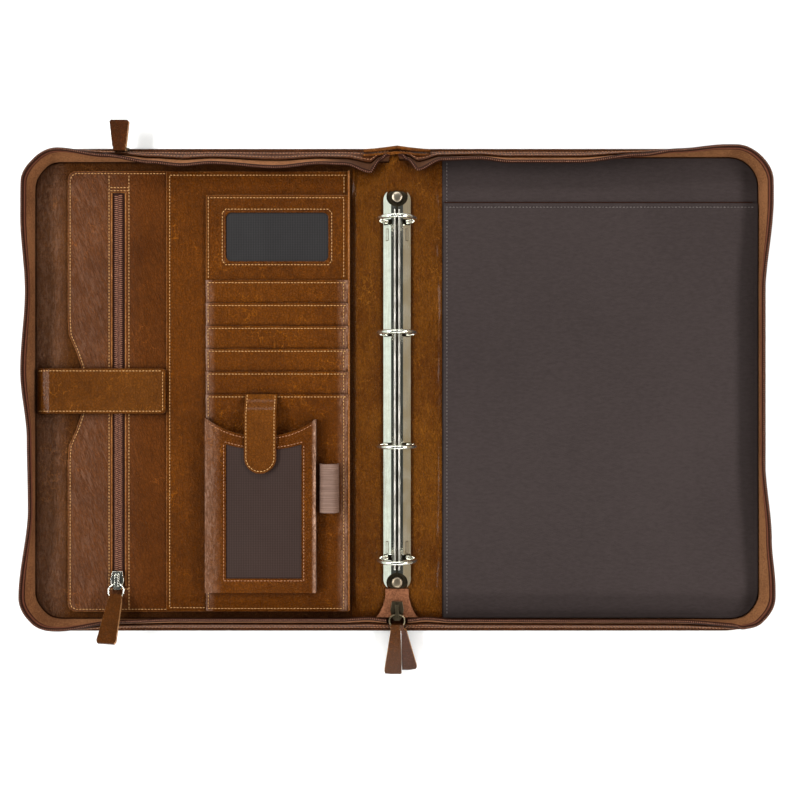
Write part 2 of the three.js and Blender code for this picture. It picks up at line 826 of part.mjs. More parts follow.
// Pen loop: an arch of elastic, open at both ends.
const penLeft = phoneRight + penFromPhone;
const penTop = phoneTop - penTopGap;
function loopSection(inset) {
  const half = penWidth / 2 - inset;
  const low = phoneBase + inset;
  const high = phoneBase + penHeight - inset;
  const round = Math.min(half, (high - low) / 2) * 0.9;
  return rounded(-half, half, low, high, [1, 1, round, round], 5);
}
const penRing = alongY(loopSection(0), penLeft + penWidth / 2, penTop - penLength, penLength);
const penHollow = alongY(
  loopSection(penElastic),
  penLeft + penWidth / 2,
  penTop - penLength - 1,
  penLength + 2,
);
add('pen_loop', cut(penRing, penHollow), elastic);

// Strap: it rises from the foot of the side gusset and lies across the pocket and its zip.
const strapLeft = trayLeft + strapFromGusset;
const strapLength = overlayLeft + strapOverlap - strapLeft;
const strapHalf = strapWidth / 2;
const strapBends = [
  { along: 0, rise: 0, arch: 0, half: 1 },
  { along: 0.02, rise: 0.6, arch: 0, half: 1 },
  { along: 0.05, rise: 1, arch: 0.4, half: 1 },
  { along: 0.12, rise: 1, arch: 1, half: 1 },
  { along: 0.25, rise: 1, arch: 0.7, half: 1 },
  { along: 0.45, rise: 1, arch: 0.1, half: 1 },
  { along: 0.6, rise: 1, arch: 0, half: 1 },
  { along: 0.98, rise: 1, arch: 0, half: 1 },
  { along: 1, rise: 1, arch: 0, half: 0.88 },
];
const strapLow = liningTop + fit;
const strapHigh = Math.max(coilTop, overlayFace) + fit;
const strapRows = strapBends.map(({ along, rise, arch, half }) => ({
  at: strapLeft + along * strapLength,
  low: strapCentreY - half * strapHalf,
  high: strapCentreY + half * strapHalf,
  level: THREE.MathUtils.lerp(strapLow, strapHigh, rise) + arch * strapArch,
}));
add('strap', ribbon(strapRows, strapThickness, (x, y, z) => new THREE.Vector3(x, y, z)), leather);

// Writing-pad pocket of the right tray.
const padOutline = trayOutline(1, rightWall, spineHalf + padHingeGap);
const padTop = halfHeight - footAt(rightWall, 0.5) - fit - padPocketTopGap;
const padLeft = spineHalf + padHingeGap;
const padBelow = padOutline.filter((point) => point.y < padTop);
const padEdge = Math.max(...padOutline.map((point) => point.x));
add(
  'pad_pocket',
  plate(
    [
      ...padBelow,
      new THREE.Vector2(padEdge, padTop),
      new THREE.Vector2(padLeft, padTop),
    ].sort(aroundMiddle(padBelow)),
    liningTop + fit,
    padThickness,
  ),
  cloth,
);

// Points of an outline that bulges everywhere, in order round its middle.
function aroundMiddle(points) {
  const middle = points
    .reduce((sum, point) => sum.add(point), new THREE.Vector2())
    .divideScalar(points.length);
  const angle = (point) => Math.atan2(point.y - middle.y, point.x - middle.x);
  return (a, b) => angle(a) - angle(b);
}

// Ring binder. The housing is a folded steel channel, slit down its ridge, with a hole for each
// half ring and a sunk plate at each end for a rivet.
const housingBase = liningTop + fit;
const housingHalf = housingWidth / 2;
const housingTop = housingBase + housingHeight;
const housingShoulder = housingBase + housingSide;
const ridgeHalf = housingRidge / 2;
const slope = Math.atan2(housingTop - housingShoulder, housingHalf - ridgeHalf);
const underRidge = ridgeHalf - housingWall * Math.tan(slope / 2);
const underShoulder = housingShoulder - housingWall * Math.tan(slope / 2);
const housingSection = [
  new THREE.Vector2(-housingHalf, housingBase),
  new THREE.Vector2(-housingHalf, housingShoulder),
  new THREE.Vector2(-ridgeHalf, housingTop),
  new THREE.Vector2(ridgeHalf, housingTop),
  new THREE.Vector2(housingHalf, housingShoulder),
  new THREE.Vector2(housingHalf, housingBase),
  new THREE.Vector2(housingHalf - housingWall, housingBase),
  new THREE.Vector2(housingHalf - housingWall, underShoulder),
  new THREE.Vector2(underRidge, housingTop - housingWall),
  new THREE.Vector2(-underRidge, housingTop - housingWall),
  new THREE.Vector2(-housingHalf + housingWall, underShoulder),
  new THREE.Vector2(-housingHalf + housingWall, housingBase),
];
const housingEnd = housingLength / 2;
const rivetY = housingEnd - rivetFromEnd;
const ringPlaces = [1.5, 0.5, -0.5, -1.5].map((step) => step * ringPitch);
const bladeBase = housingBase + bladeLift;
const bladeTop = bladeBase + bladeThickness;
const ringDrop = Math.sqrt(ringRadius ** 2 - ringFootX ** 2);
const ringMiddle = bladeTop + wireDiameter + ringDrop;
const ringSlotHalf = wireDiameter / 2 + ringSlotClearance;
const ringSlots = ringPlaces.flatMap((y) =>
  [-1, 1].map((side) => {
    const inner = side * (ringFootX - wireDiameter);
    const outer = side * (housingHalf - ringSlotFromSide);
    return plate(
      rectangle(Math.min(inner, outer), Math.max(inner, outer), y - ringSlotHalf, y + ringSlotHalf),
      housingShoulder - ringSlotDepth,
      housingHeight,
    );
  }),
);
const recesses = [-1, 1].map((end) =>
  plate(
    arc(0, end * rivetY, recessRadius + fit, 0, 2 * Math.PI, 24).slice(0, -1),
    housingBase - 1,
    2 * housingHeight,
  ),
);
const mouthHalf = recessRadius * recessMouthShare;
const recessMouths = [-1, 1].map((end) => {
  const [near, far] = [end * rivetY, end * (housingEnd + 1)];
  return plate(
    rectangle(-mouthHalf, mouthHalf, Math.min(near, far), Math.max(near, far)),
    housingBase - 1,
    2 * housingHeight,
  );
});
const corners = [[1, 1], [-1, 1], [-1, -1], [1, -1]].map(([sx, sy], quarter) => {
  const [x, y] = [sx * (housingHalf - housingCorner), sy * (housingEnd - housingCorner)];
  const start = (quarter * Math.PI) / 2;
  const round = arc(x, y, housingCorner, start, start + Math.PI / 2, 6);
  const outside = new THREE.Vector2(sx * (housingHalf + 1), sy * (housingEnd + 1));
  const ends = sx * sy > 0 ? [[outside.x, y], [x, outside.y]] : [[x, outside.y], [outside.x, y]];
  const [first, last] = ends.map((end) => new THREE.Vector2(...end));
  return plate([outside, first, ...round, last], housingBase - 1, 2 * housingHeight);
});
const plateHalf = housingHalf - rivetPlateInset;
const rivetPlates = [-1, 1].map((end) => {
  const [near, far] = [end * (rivetY - plateHalf), end * housingEnd];
  const outer = end > 0 ? [0, 0, recessRadius, recessRadius] : [recessRadius, recessRadius, 0, 0];
  const outline = rounded(-plateHalf, plateHalf, Math.min(near, far), Math.max(near, far), outer);
  return plate(outline, housingBase, rivetPlate);
});
const slit = plate(
  rectangle(-housingSlit / 2, housingSlit / 2, -rivetY + recessRadius, rivetY - recessRadius),
  housingTop - housingWall - 1,
  housingWall + 2,
);
const shell = cut(
  alongY(housingSection, 0, -housingEnd, housingLength),
  ...ringSlots,
  ...recesses,
  ...recessMouths,
  ...corners,
  slit,
);
add('ring_housing', join(shell, ...rivetPlates), nickel);

for (const [name, end] of [['top', 1], ['bottom', -1]]) {
  const head = [
    new THREE.Vector2(0, 0),
    new THREE.Vector2(rivetRadius, 0),
    new THREE.Vector2(rivetRadius, rivetHeight * 0.4),
    new THREE.Vector2(rivetRadius * 0.85, rivetHeight * 0.8),
    new THREE.Vector2(rivetRadius * 0.5, rivetHeight),
    new THREE.Vector2(0, rivetHeight),
  ];
  const rivet = new THREE.LatheGeometry(head, 20).rotateX(Math.PI / 2);
  add(`rivet_${name}`, rivet.translate(0, end * rivetY, housingBase + rivetPlate + fit), nickel);
}

// Two blades turn on the housing's long edges, and each carries four half rings.
const bladeOuter = housingHalf - housingWall - fit;
const bladeEnd = rivetY - housingHalf - fit;
function halfRing(side, y) {
  const footAngle = Math.acos(ringFootX / ringRadius);
  const centre = new THREE.Vector3(0, y, ringMiddle);
  const round = Array.from({ length: 17 }, (_, i) => {
    const angle = Math.PI / 2 - (Math.PI / 2 + footAngle) * (i / 16);
    return new THREE.Vector3(
      side * (ringRadius * Math.cos(angle) + (i === 0 ? fit / 2 : 0)),
      y,
      centre.z + ringRadius * Math.sin(angle),
    );
  });
  const foot = new THREE.Vector3(side * ringFootX, y, bladeTop + fit);
  const sides = 10;
  const middles = [...round, foot];
  const sections = middles.map((middle, i) => {
    const before = middles[Math.max(0, i - 1)];
    const after = middles[Math.min(middles.length - 1, i + 1)];
    const along = after.clone().sub(before).normalize();
    if (i === 0) along.set(side, 0, 0);
    if (i === middles.length - 1) along.set(0, 0, -1);
    const across = new THREE.Vector3(0, 1, 0).cross(along).normalize();
    return Array.from({ length: sides }, (_, k) => {
      const angle = (2 * Math.PI * k) / sides;
      return middle
        .clone()
        .addScaledVector(across, (wireDiameter / 2) * Math.cos(angle))
        .add(new THREE.Vector3(0, (wireDiameter / 2) * Math.sin(angle), 0));
    });
  });
  return loft(sections, arc(0, 0, 1, 0, 2 * Math.PI, sides).slice(0, -1));
}
for (const [name, side] of [['left', -1], ['right', 1]]) {
  const [inner, outer] = [side * (bladeGap / 2), side * bladeOuter];
  add(
    `ring_blade_${name}`,
    plate(
      rectangle(Math.min(inner, outer), Math.max(inner, outer), -bladeEnd, bladeEnd),
      bladeBase,
      bladeThickness,
    ),
    nickel,
  );
  ringPlaces.forEach((y, n) => add(`half_ring_${name}_${n + 1}`, halfRing(side, y), nickel));
}

// The closed end of the zip: a cloth tab from under the binder out to the slider.
const tabTopY = -(housingEnd + fit);
const sliderEnd = -(halfHeight - footAt(leftWall, 5) - sliderFromWall);
const sliderStart = sliderEnd + sliderLength;
const tabBottomY = sliderEnd + tabUnderSlider;
const endTabRows = [
  { along: 0, half: endTabWidth / 2, rise: 0 },
  { along: 0.3, half: endTabWidth / 2, rise: 0.2 },
  { along: 0.6, half: endTabWidth * 0.6, rise: 0.6 },
  { along: 0.85, half: endTabFlare * 0.42, rise: 0.9 },
  { along: 1, half: endTabFlare / 2, rise: 1 },
].map(({ along, half, rise }) => ({
  at: THREE.MathUtils.lerp(tabTopY, tabBottomY, along),
  low: -half,
  high: half,
  level: housingBase + rise * endTabRise,
}));
add(
  'zip_end_tab',
  ribbon(endTabRows, endTabThickness, (y, x, z) => new THREE.Vector3(x, y, z)),
  tape,
);

// A slider's body with a bridge on it, bored for the wire ring. It points towards -Y from y.
function slider(x, y, base, bore) {
  const half = sliderWidth / 2;
  const outline = [
    new THREE.Vector2(-half * 0.75, 0),
    new THREE.Vector2(-half, -sliderLength * 0.45),
    new THREE.Vector2(-half * 0.8, -sliderLength * 0.8),
    new THREE.Vector2(-half * 0.4, -sliderLength),
    new THREE.Vector2(half * 0.4, -sliderLength),
    new THREE.Vector2(half * 0.8, -sliderLength * 0.8),
    new THREE.Vector2(half, -sliderLength * 0.45),
    new THREE.Vector2(half * 0.75, 0),
  ];
  const bridge = plate(
    rectangle(-bridgeWidth / 2, bridgeWidth / 2, -sliderLength * 0.8, -sliderLength * 0.15),
    base,
    sliderThickness + bridgeHeight,
  );
  const hole = new THREE.CylinderGeometry(bore, bore, bridgeWidth * 2, 12).rotateZ(Math.PI / 2);
  hole.translate(0, -sliderLength * boreShare, base + sliderThickness + bridgeHeight / 2);
  return cut(join(plate(outline, base, sliderThickness), bridge), hole).translate(x, y, 0);
}

// A wire ring between a slider's bore and a pull's bore, both along X.
function wireRing(x, from, to) {
  const half = (ringWidth - ringWire) / 2;
  const along = new THREE.Vector3(0, to.y - from.y, to.z - from.z);
  const length = along.length();
  const turn = Math.min(half, length / 2) * 0.5;
  const loop = rounded(-half, half, -length, 0, [turn, turn, turn * 0.6, turn * 0.6], 4);
  const path = new THREE.CurvePath();
  loop.forEach((point, i) => {
    const next = loop[(i + 1) % loop.length];
    path.add(
      new THREE.LineCurve3(new THREE.Vector3(point.x, point.y, 0), new THREE.Vector3(next.x, next.y, 0)),
    );
  });
  const ring = new THREE.TubeGeometry(path, 36, ringWire / 2, 6, true);
  ring.rotateX(Math.atan2(-(to.z - from.z), -(to.y - from.y)) * -1);
  return ring.translate(x, from.y, from.z);
}

// A leather pull, bored near its top for the wire. Its outline's rows run from the bore to the
// free end, as shares of its length and of the usual width.
function pull(rows, length, wire) {
  const left = rows.map(({ along, left: edge }) => new THREE.Vector2(edge * pullWidth, -along * length));
  const right = rows.map(({ along, right: edge }) => new THREE.Vector2(edge * pullWidth, -along * length));
  const [topLeft, topRight] = [rows[0].left * pullWidth, rows[0].right * pullWidth];
  const outline = [
    new THREE.Vector2(topLeft, pullTop),
    ...left,
    ...right.reverse(),
    new THREE.Vector2(topRight, pullTop),
  ];
  const bore = new THREE.CylinderGeometry(wire, wire, pullWidth * 3, 12).rotateZ(Math.PI / 2);
  return cut(plate(outline, -pullThickness / 2, pullThickness), bore);
}

const boreRadius = ringWire / 2 + fit;
const pullShapes = {
  straight: [
    { along: 0.03, left: -0.34, right: 0.34 },
    { along: 0.1, left: -0.38, right: 0.38 },
    { along: 0.94, left: -0.53, right: 0.53 },
    { along: 1, left: -0.45, right: 0.45 },
  ],
  mainLeft: [
    { along: 0.03, left: -0.35, right: 0.14 },
    { along: 0.08, left: -0.36, right: 0.2 },
    { along: 0.93, left: -0.72, right: 0.25 },
    { along: 0.99, left: -0.68, right: 0.25 },
    { along: 1, left: -0.3, right: 0.17 },
  ],
  mainRight: [
    { along: 0.03, left: 0.17, right: 0.35 },
    { along: 0.08, left: 0.23, right: 0.53 },
    { along: 0.86, left: 0.28, right: 1.12 },
    { along: 0.91, left: 0.28, right: 1.06 },
    { along: 0.93, left: 0.28, right: 0.7 },
  ],
};

const mainSliderBase = housingBase + endTabThickness + endTabRise + fit;
const bridgeBore = sliderThickness + bridgeHeight / 2;
const mainBar = {
  y: sliderStart - sliderLength * boreShare,
  z: mainSliderBase + bridgeBore,
};
const mainPullBar = { y: mainBar.y - ringLength, z: mainBar.z - ringLength * mainRingDrop };
add('main_slider', slider(0, sliderStart, mainSliderBase, boreRadius), oldNickel);
add('main_wire_ring', wireRing(0, mainBar, mainPullBar), oldNickel);
const droop = (end) => Math.asin((mainPullBar.z - pullThickness / 2 - end) / pullLength);
add('main_pull_left', pull(pullShapes.mainLeft, pullLength, boreRadius), leather)
  .geometry.rotateX(droop(mainPullLift))
  .translate(0, mainPullBar.y, mainPullBar.z);
add('main_pull_right', pull(pullShapes.mainRight, pullLength, boreRadius), leather)
  .geometry.rotateX(droop(fit * 2))
  .translate(0, mainPullBar.y, mainPullBar.z);

// The zip pocket's slider; its pull leans up on the bottom gusset's teeth.
const pocketSliderBase = coilTop + fit;
const pocketSliderY = slotBottom + sliderLength - pocketSliderDrop;
const pocketBar = {
  y: pocketSliderY - sliderLength * boreShare,
  z: pocketSliderBase + bridgeBore,
};
const pocketPullBar = { y: pocketBar.y - ringLength, z: pocketBar.z + ringLength * pocketRingRise };
const restLeg = 5 + slotMiddle / topRun;
const restTeeth = wallAt(leftWall, restLeg).teeth;
const restEdge = restTeeth.map(({ x: u, y: v }) => ({
  run: pocketPullBar.y + halfHeight + u,
  rise: v + pullThickness / 2 + 2 * fit - pocketPullBar.z,
}));
const leanUp = Math.max(...restEdge.map(({ run, rise }) => Math.atan2(rise + pocketPullClear, run)));
add('pocket_slider', slider(slotMiddle, pocketSliderY, pocketSliderBase, boreRadius), nickel);
add('pocket_wire_ring', wireRing(slotMiddle, pocketBar, pocketPullBar), nickel);
add('pocket_pull', pull(pullShapes.straight, pocketPullLength, boreRadius), leather)
  .geometry.rotateX(-leanUp)
  .rotateZ(pocketPullTurn)
  .translate(slotMiddle, pocketPullBar.y, pocketPullBar.z);

// A pull of the pocket on the outside of the case, over a slider on the gusset's outer face.
const outerX = -outerPullPlace * topRun;
const outerWall = wallAt(leftWall, outerPullPlace).strip;
const outerFace = (share) => outerWall[0].clone().lerp(outerWall[1], share);
const outerSliderSection = [
  outerFace(outerSliderFoot),
  outerFace(1),
  outerFace(1).add(new THREE.Vector2(outerSliderTop, 0)),
  outerFace(outerSliderFoot).add(new THREE.Vector2(outerSliderHeel, 0)),
].map(({ x: u, y: v }) => new THREE.Vector2(halfHeight + u + 2 * fit, v));
add('outer_slider', alongX(outerSliderSection, outerX - sliderWidth / 2, sliderWidth), oldNickel);
const outerRest = {
  y: outerSliderSection[1].x + pullTop,
  z: outerSliderSection[1].y + fit + pullThickness / 2,
};
add('outer_pull', pull(pullShapes.straight, outerPullLength, boreRadius), leather)
  .geometry.rotateZ(Math.PI)
  .translate(outerX, outerRest.y, outerRest.z);

export default documentCase;
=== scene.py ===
"""An A4 leather document case, lying open on a pale table and seen from straight above."""
import math
import random

import bmesh
import bpy
from mathutils import Matrix, Vector, noise


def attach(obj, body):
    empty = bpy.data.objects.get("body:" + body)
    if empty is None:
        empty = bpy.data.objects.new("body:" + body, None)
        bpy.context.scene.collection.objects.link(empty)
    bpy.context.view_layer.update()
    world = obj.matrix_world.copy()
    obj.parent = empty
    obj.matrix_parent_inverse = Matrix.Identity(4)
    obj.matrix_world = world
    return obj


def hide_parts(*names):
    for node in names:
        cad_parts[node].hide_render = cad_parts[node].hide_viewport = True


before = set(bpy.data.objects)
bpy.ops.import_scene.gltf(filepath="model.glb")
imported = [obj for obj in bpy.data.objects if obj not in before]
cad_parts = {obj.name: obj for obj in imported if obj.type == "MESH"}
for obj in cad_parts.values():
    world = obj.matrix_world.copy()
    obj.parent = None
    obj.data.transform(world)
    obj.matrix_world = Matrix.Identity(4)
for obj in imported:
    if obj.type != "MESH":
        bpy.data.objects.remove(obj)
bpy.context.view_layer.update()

# The studio: a camera that looks straight down on the open case, a long soft box beyond each of its
# sides and a pale sky. The camera's height and lens are those of a catalogue picture.
eye = bpy.data.cameras.new("eye")
eye.lens = 40.9
eye.sensor_width = 36
camera = bpy.data.objects.new("eye", eye)
eye_height = 0.662
camera.location = (0.0021, -0.0074, eye_height)
bpy.context.scene.collection.objects.link(camera)
bpy.context.scene.camera = camera

sky = bpy.data.worlds.new("sky")
sky.use_nodes = True
dome = sky.node_tree
ceiling = dome.nodes["Background"]
toward = dome.nodes.new("ShaderNodeTexCoord")
split = dome.nodes.new("ShaderNodeSeparateXYZ")
dome.links.new(toward.outputs["Generated"], split.inputs[0])


def faded(axis, start, end, low, high):
    """A value that changes smoothly with one part of the direction into the sky."""
    fall = dome.nodes.new("ShaderNodeMapRange")
    fall.interpolation_type = "SMOOTHSTEP"
    for socket, value in zip(("From Min", "From Max", "To Min", "To Max"), (start, end, low, high)):
        fall.inputs[socket].default_value = value
    dome.links.new(split.outputs[axis], fall.inputs["Value"])
    return fall.outputs["Result"]


# The black ceiling round the camera keeps the hide's colour deep, and the dim wall on the right
# gives the binder's steel a dark side.
tone = dome.nodes.new("ShaderNodeMix")
tone.data_type = "RGBA"
pale_wall, dim_wall = (0.84, 0.93, 0.86, 1), (0.27, 0.20, 0.11, 1)
tone.inputs[6].default_value = pale_wall
tone.inputs[7].default_value = dim_wall
dome.links.new(faded("X", 0.3, 0.75, 0, 1), tone.inputs[0])
dome.links.new(tone.outputs[2], ceiling.inputs["Color"])
dome.links.new(faded("Z", 0.42, 0.72, 1.0, 0.03), ceiling.inputs["Strength"])
bpy.context.scene.world = sky
bpy.context.scene.view_settings.view_transform = "Standard"


def soft_box(name, place, length, power):
    """A long, low lamp beyond one side of the case, turned towards its middle."""
    lamp = bpy.data.lights.new(name, "AREA")
    lamp.shape = "RECTANGLE"
    lamp.size = length
    lamp.size_y = 0.25
    lamp.energy = power
    stand = bpy.data.objects.new(name, lamp)
    stand.location = place
    stand.rotation_euler = (-Vector(place)).to_track_quat("-Z", "Y").to_euler()
    bpy.context.scene.collection.objects.link(stand)


soft_box("box_left", (-1.0, 0.1, 1.0), 1.3, 17)
soft_box("box_right", (1.05, -0.1, 1.0), 1.3, 15)
soft_box("box_near", (0.1, -1.2, 0.95), 1.2, 9)
soft_box("box_far", (-0.1, 1.2, 0.95), 1.2, 9)


# Glazed cowhide: a waxed, hand-rubbed top coat over a mottled tan, with fine pores, soft creases
# that run one way and darker rubbed patches, with painted shade in its creases and under edges and,
# where asked, a pale painted sheen. Every leather piece is cut from a hide like it.
class Amount:
    """A number that varies over a surface, ready for sums."""

    def __init__(self, finish, socket):
        self.finish = finish
        self.socket = socket

    def sum(self, operation, first, second):
        return self.finish.node("ShaderNodeMath", [first, second], operation=operation)

    def __add__(self, other):
        return self.sum("ADD", self, other)

    def __sub__(self, other):
        return self.sum("SUBTRACT", self, other)

    def __rsub__(self, other):
        return self.sum("SUBTRACT", other, self)

    def __mul__(self, other):
        return self.sum("MULTIPLY", self, other)

    __radd__ = __add__
    __rmul__ = __mul__


class Finish:
    """The material of one surface, built up node by node."""

    def __init__(self, name):
        self.material = bpy.data.materials.new(name)
        self.material.use_nodes = True
        self.tree = self.material.node_tree
        self.tree.nodes.clear()
        self.place = self.node("ShaderNodeTexCoord", {}, "Object")

    def node(self, kind, sockets, output=0, **settings):
        made = self.tree.nodes.new(kind)
        for setting, value in settings.items():
            setattr(made, setting, value)
        pairs = sockets.items() if isinstance(sockets, dict) else enumerate(sockets)
        for socket, value in pairs:
            if isinstance(value, Amount):
                self.tree.links.new(value.socket, made.inputs[socket])
            elif value is not None:
                made.inputs[socket].default_value = value
        return Amount(self, made.outputs[output])

    def stretched(self, x, y, z, turn=0.0):
        """The place, turned about Z, with a pattern on it drawn out along each axis."""
        return self.node(
            "ShaderNodeMapping",
            {"Vector": self.place, "Scale": (1 / x, 1 / y, 1 / z), "Rotation": (0, 0, turn)},
            vector_type="TEXTURE",
        )

    def reach(self, axis):
        """How far along X, Y or Z, in millimetres."""
        return self.node("ShaderNodeSeparateXYZ", [self.place], "XYZ".index(axis)) * 1000

    def clouds(self, scale, detail=3, roughness=0.55, distortion=0.0, place=None):
        return self.node(
            "ShaderNodeTexNoise",
            {
                "Vector": place or self.place,
                "Scale": scale,
                "Detail": detail,
                "Roughness": roughness,
                "Distortion": distortion,
            },
        )

    def cells(self, scale, place=None, feature="DISTANCE_TO_EDGE"):
        return self.node(
            "ShaderNodeTexVoronoi",
            {"Vector": place or self.place, "Scale": scale},
            feature=feature,
        )

    def between(self, amount, low, high):
        """0 below low, 1 above high and a smooth step from one to the other."""
        return self.node(
            "ShaderNodeMapRange",
            {"Value": amount, "From Min": low, "From Max": high},
            interpolation_type="SMOOTHSTEP",
        )

    def tinted(self, mask, first, second):
        colours = [(*c, 1) if isinstance(c, tuple) else c for c in (first, second)]
        made = self.tree.nodes.new("ShaderNodeMix")
        made.data_type = "RGBA"
        for socket, value in zip((0, 6, 7), (mask, *colours)):
            if isinstance(value, Amount):
                self.tree.links.new(value.socket, made.inputs[socket])
            else:
                made.inputs[socket].default_value = value
        return Amount(self, made.outputs[2])

    def painted_shade_mask(self, reach):
        """1 in a crease or under an edge, where painted shade darkens the colour, and 0 in the
        open.
        """
        return 1 - self.node(
            "ShaderNodeAmbientOcclusion", {"Distance": reach}, "AO", samples=6
        )

    def wavered(self, reach, scale, place=None):
        """The place, shaken a little, so that a regular pattern turns natural."""
        shake = self.node(
            "ShaderNodeTexNoise", {"Vector": place or self.place, "Scale": scale, "Detail": 2}, 1
        )
        level = self.node("ShaderNodeVectorMath", [shake, (0.5, 0.5, 0.5)], operation="SUBTRACT")
        small = self.node("ShaderNodeVectorMath", {0: level, 3: reach}, operation="SCALE")
        return self.node("ShaderNodeVectorMath", [place or self.place, small], operation="ADD")

    def relief(self, height, depth, under=None):
        return self.node(
            "ShaderNodeBump",
            {"Height": height, "Distance": depth, "Strength": 1.0, "Normal": under},
        )

    def done(self, **sockets):
        surface = self.node("ShaderNodeBsdfPrincipled", {
            name.replace("_", " ").title().replace("Ior", "IOR"):
            (*value, 1) if isinstance(value, tuple) and len(value) == 3 else value
            for name, value in sockets.items()
        })
        out = self.tree.nodes.new("ShaderNodeOutputMaterial")
        self.tree.links.new(surface.socket, out.inputs["Surface"])
        return self.material


def shade(red, green, blue):
    """A colour given on the screen's scale, as light."""
    parts = (red / 255, green / 255, blue / 255)
    return tuple(c / 12.92 if c < 0.0405 else ((c + 0.055) / 1.055) ** 2.4 for c in parts)


# The pale tone of a painted sheen, which stands for the reflection of the lamps.
sheen_tone = shade(204, 164, 142)


def hide(name, pale, deep, gloss=0.27, crease=(1, 1, 1), turn=0.0, crinkle=1.0, sheen_bands=()):
    """Waxed hide; each band of (start, end, share) along X that is asked for gets a pale, streaked
    painted sheen.
    """
    skin = Finish(name)
    along = skin.stretched(*crease, turn=turn)
    patches = skin.clouds(13, 4, 0.6, 0.4)
    mottle = skin.clouds(210, 6, 0.75, 0.6, along)
    net = skin.cells(430, skin.wavered(0.004, 260, along))
    creases = 1 - skin.between(net, 0.0, 0.2)
    worn = skin.between(patches * 0.8 + mottle * 0.75, 0.5, 1.05)
    colour = skin.tinted(worn, deep, pale)
    golden = tuple(min(1, c * f) for c, f in zip(pale, (2.6, 3.0, 4.5)))
    lines = 1 - skin.between(skin.cells(150, skin.wavered(0.016, 90, along)), 0.0, 0.045)
    scratched = skin.between(skin.clouds(38, 3, 0.6, 0.5), 0.52, 0.68)
    colour = skin.tinted(lines * scratched * 0.55, colour, golden)
    colour = skin.tinted(creases * 0.4, colour, tuple(c * 0.4 for c in deep))
    drawn_out = skin.stretched(crease[0] * 1.7, crease[1] * 0.5, 1, turn)
    wrinkles = skin.clouds(260, 5, 0.7, 1.4, drawn_out)
    streaks = skin.between(wrinkles, 0.42, 0.66)
    # Painted sheen: pale streaks over each band stand for the lamps' reflection.
    for start, end, share in sheen_bands:
        sheen_mask = skin.between(skin.reach("X"), start, end) * (streaks * 0.7 + 0.3)
        colour = skin.tinted(sheen_mask * share, colour, sheen_tone)
    # Painted shade: the colour darkens towards sunk in creases and under raised edges, where shade
    # falls.
    sunk = tuple(c * f for c, f in zip(deep, (0.3, 0.16, 0.1)))
    colour = skin.tinted(skin.between(skin.painted_shade_mask(0.008), 0.05, 0.6) * 0.85, colour, sunk)
    rough = gloss + creases * 0.12 + (patches - 0.5) * 0.2
    swell = skin.relief(skin.clouds(24, 2, 0.5, 0.2), 0.0026 * crinkle)
    creased = skin.relief(mottle * 0.35 + wrinkles * 0.65, 0.003 * crinkle, swell)
    grained = skin.relief(skin.between(net, 0.0, 0.35), 0.0003, creased)
    return skin.done(
        base_color=colour, roughness=rough, normal=grained, coat_weight=0.08, coat_roughness=0.12,
        specular_ior_level=0.2, specular_tint=(1, 0.66, 0.34),
    )


# Where a piece of hide is folded or cut, its edge is rubbed pale.
rubbed = hide("rubbed", shade(156, 100, 50), shade(118, 66, 24), gloss=0.42, crinkle=0.5)


def piece(name, shape, finishes, stands_for=(), body="case", smooth=38, outward=True):
    """Puts a finished shape, worked in millimetres, into the case in metres."""
    bmesh.ops.scale(shape, vec=(0.001, 0.001, 0.001), verts=shape.verts)
    if outward:
        bmesh.ops.recalc_face_normals(shape, faces=shape.faces)
    mesh = bpy.data.meshes.new(name)
    shape.to_mesh(mesh)
    shape.free()
    mesh.polygons.foreach_set("use_smooth", [True] * len(mesh.polygons))
    mesh.set_sharp_from_angle(angle=math.radians(smooth))
    made = bpy.data.objects.new(name, mesh)
    bpy.context.scene.collection.objects.link(made)
    for finish in finishes if isinstance(finishes, (list, tuple)) else [finishes]:
        mesh.materials.append(finish)
    weigh = made.modifiers.new("weigh", "WEIGHTED_NORMAL")
    weigh.keep_sharp = True
    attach(made, body)
    if stands_for:
        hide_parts(*stands_for)
    return made


def cut_like(node):
    """The shape of one cut piece, with its flat faces whole again."""
    shape = bmesh.new()
    shape.from_mesh(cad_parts[node].data)
    bmesh.ops.scale(shape, vec=(1000, 1000, 1000), verts=shape.verts)
    bmesh.ops.remove_doubles(shape, verts=shape.verts, dist=0.002)
    bmesh.ops.dissolve_limit(
        shape, angle_limit=math.radians(1), verts=shape.verts, edges=shape.edges
    )
    return shape


def roll_edges(shape, width, segments=3, angle=30):
    """Rounds the sharp edges; all that isn't the piece's broad face takes its second finish."""
    sharp = [
        edge for edge in shape.edges
        if len(edge.link_faces) == 2 and edge.calc_face_angle(0) > math.radians(angle)
    ]
    bmesh.ops.bevel(
        shape, geom=sharp, offset=width, offset_type="OFFSET", segments=segments,
        affect="EDGES", profile=0.5, material=-1, clamp_overlap=True,
    )
    broad = max(shape.faces, key=lambda face: face.calc_area()).normal.copy()
    for face in shape.faces:
        if abs(face.normal.dot(broad)) < 0.97:
            face.material_index = 1


def channel(shape, inset, width=0.9, depth=0.22):
    """Presses the channel that a line of stitches pulls into a face, a little in from its edges."""
    top = max(v.co.z for v in shape.verts)
    face = [
        f for f in shape.faces
        if f.normal.z > 0.99 and abs(f.calc_center_median().z - top) < 0.05
    ]
    for run, drop in ((inset - width / 2, 0), (width / 2, -depth), (width / 2, depth)):
        bmesh.ops.inset_region(
            shape, faces=face, thickness=run, depth=drop, use_boundary=True, use_even_offset=True
        )


def dressed(name, node, finishes, edge, seam=(), body="case", segments=3):
    """A cut piece with its edges rolled and, where asked, the channel of a seam pressed in."""
    shape = cut_like(node)
    roll_edges(shape, edge, segments)
    if seam:
        channel(shape, *seam)
    return piece(name, shape, finishes, [node], body)


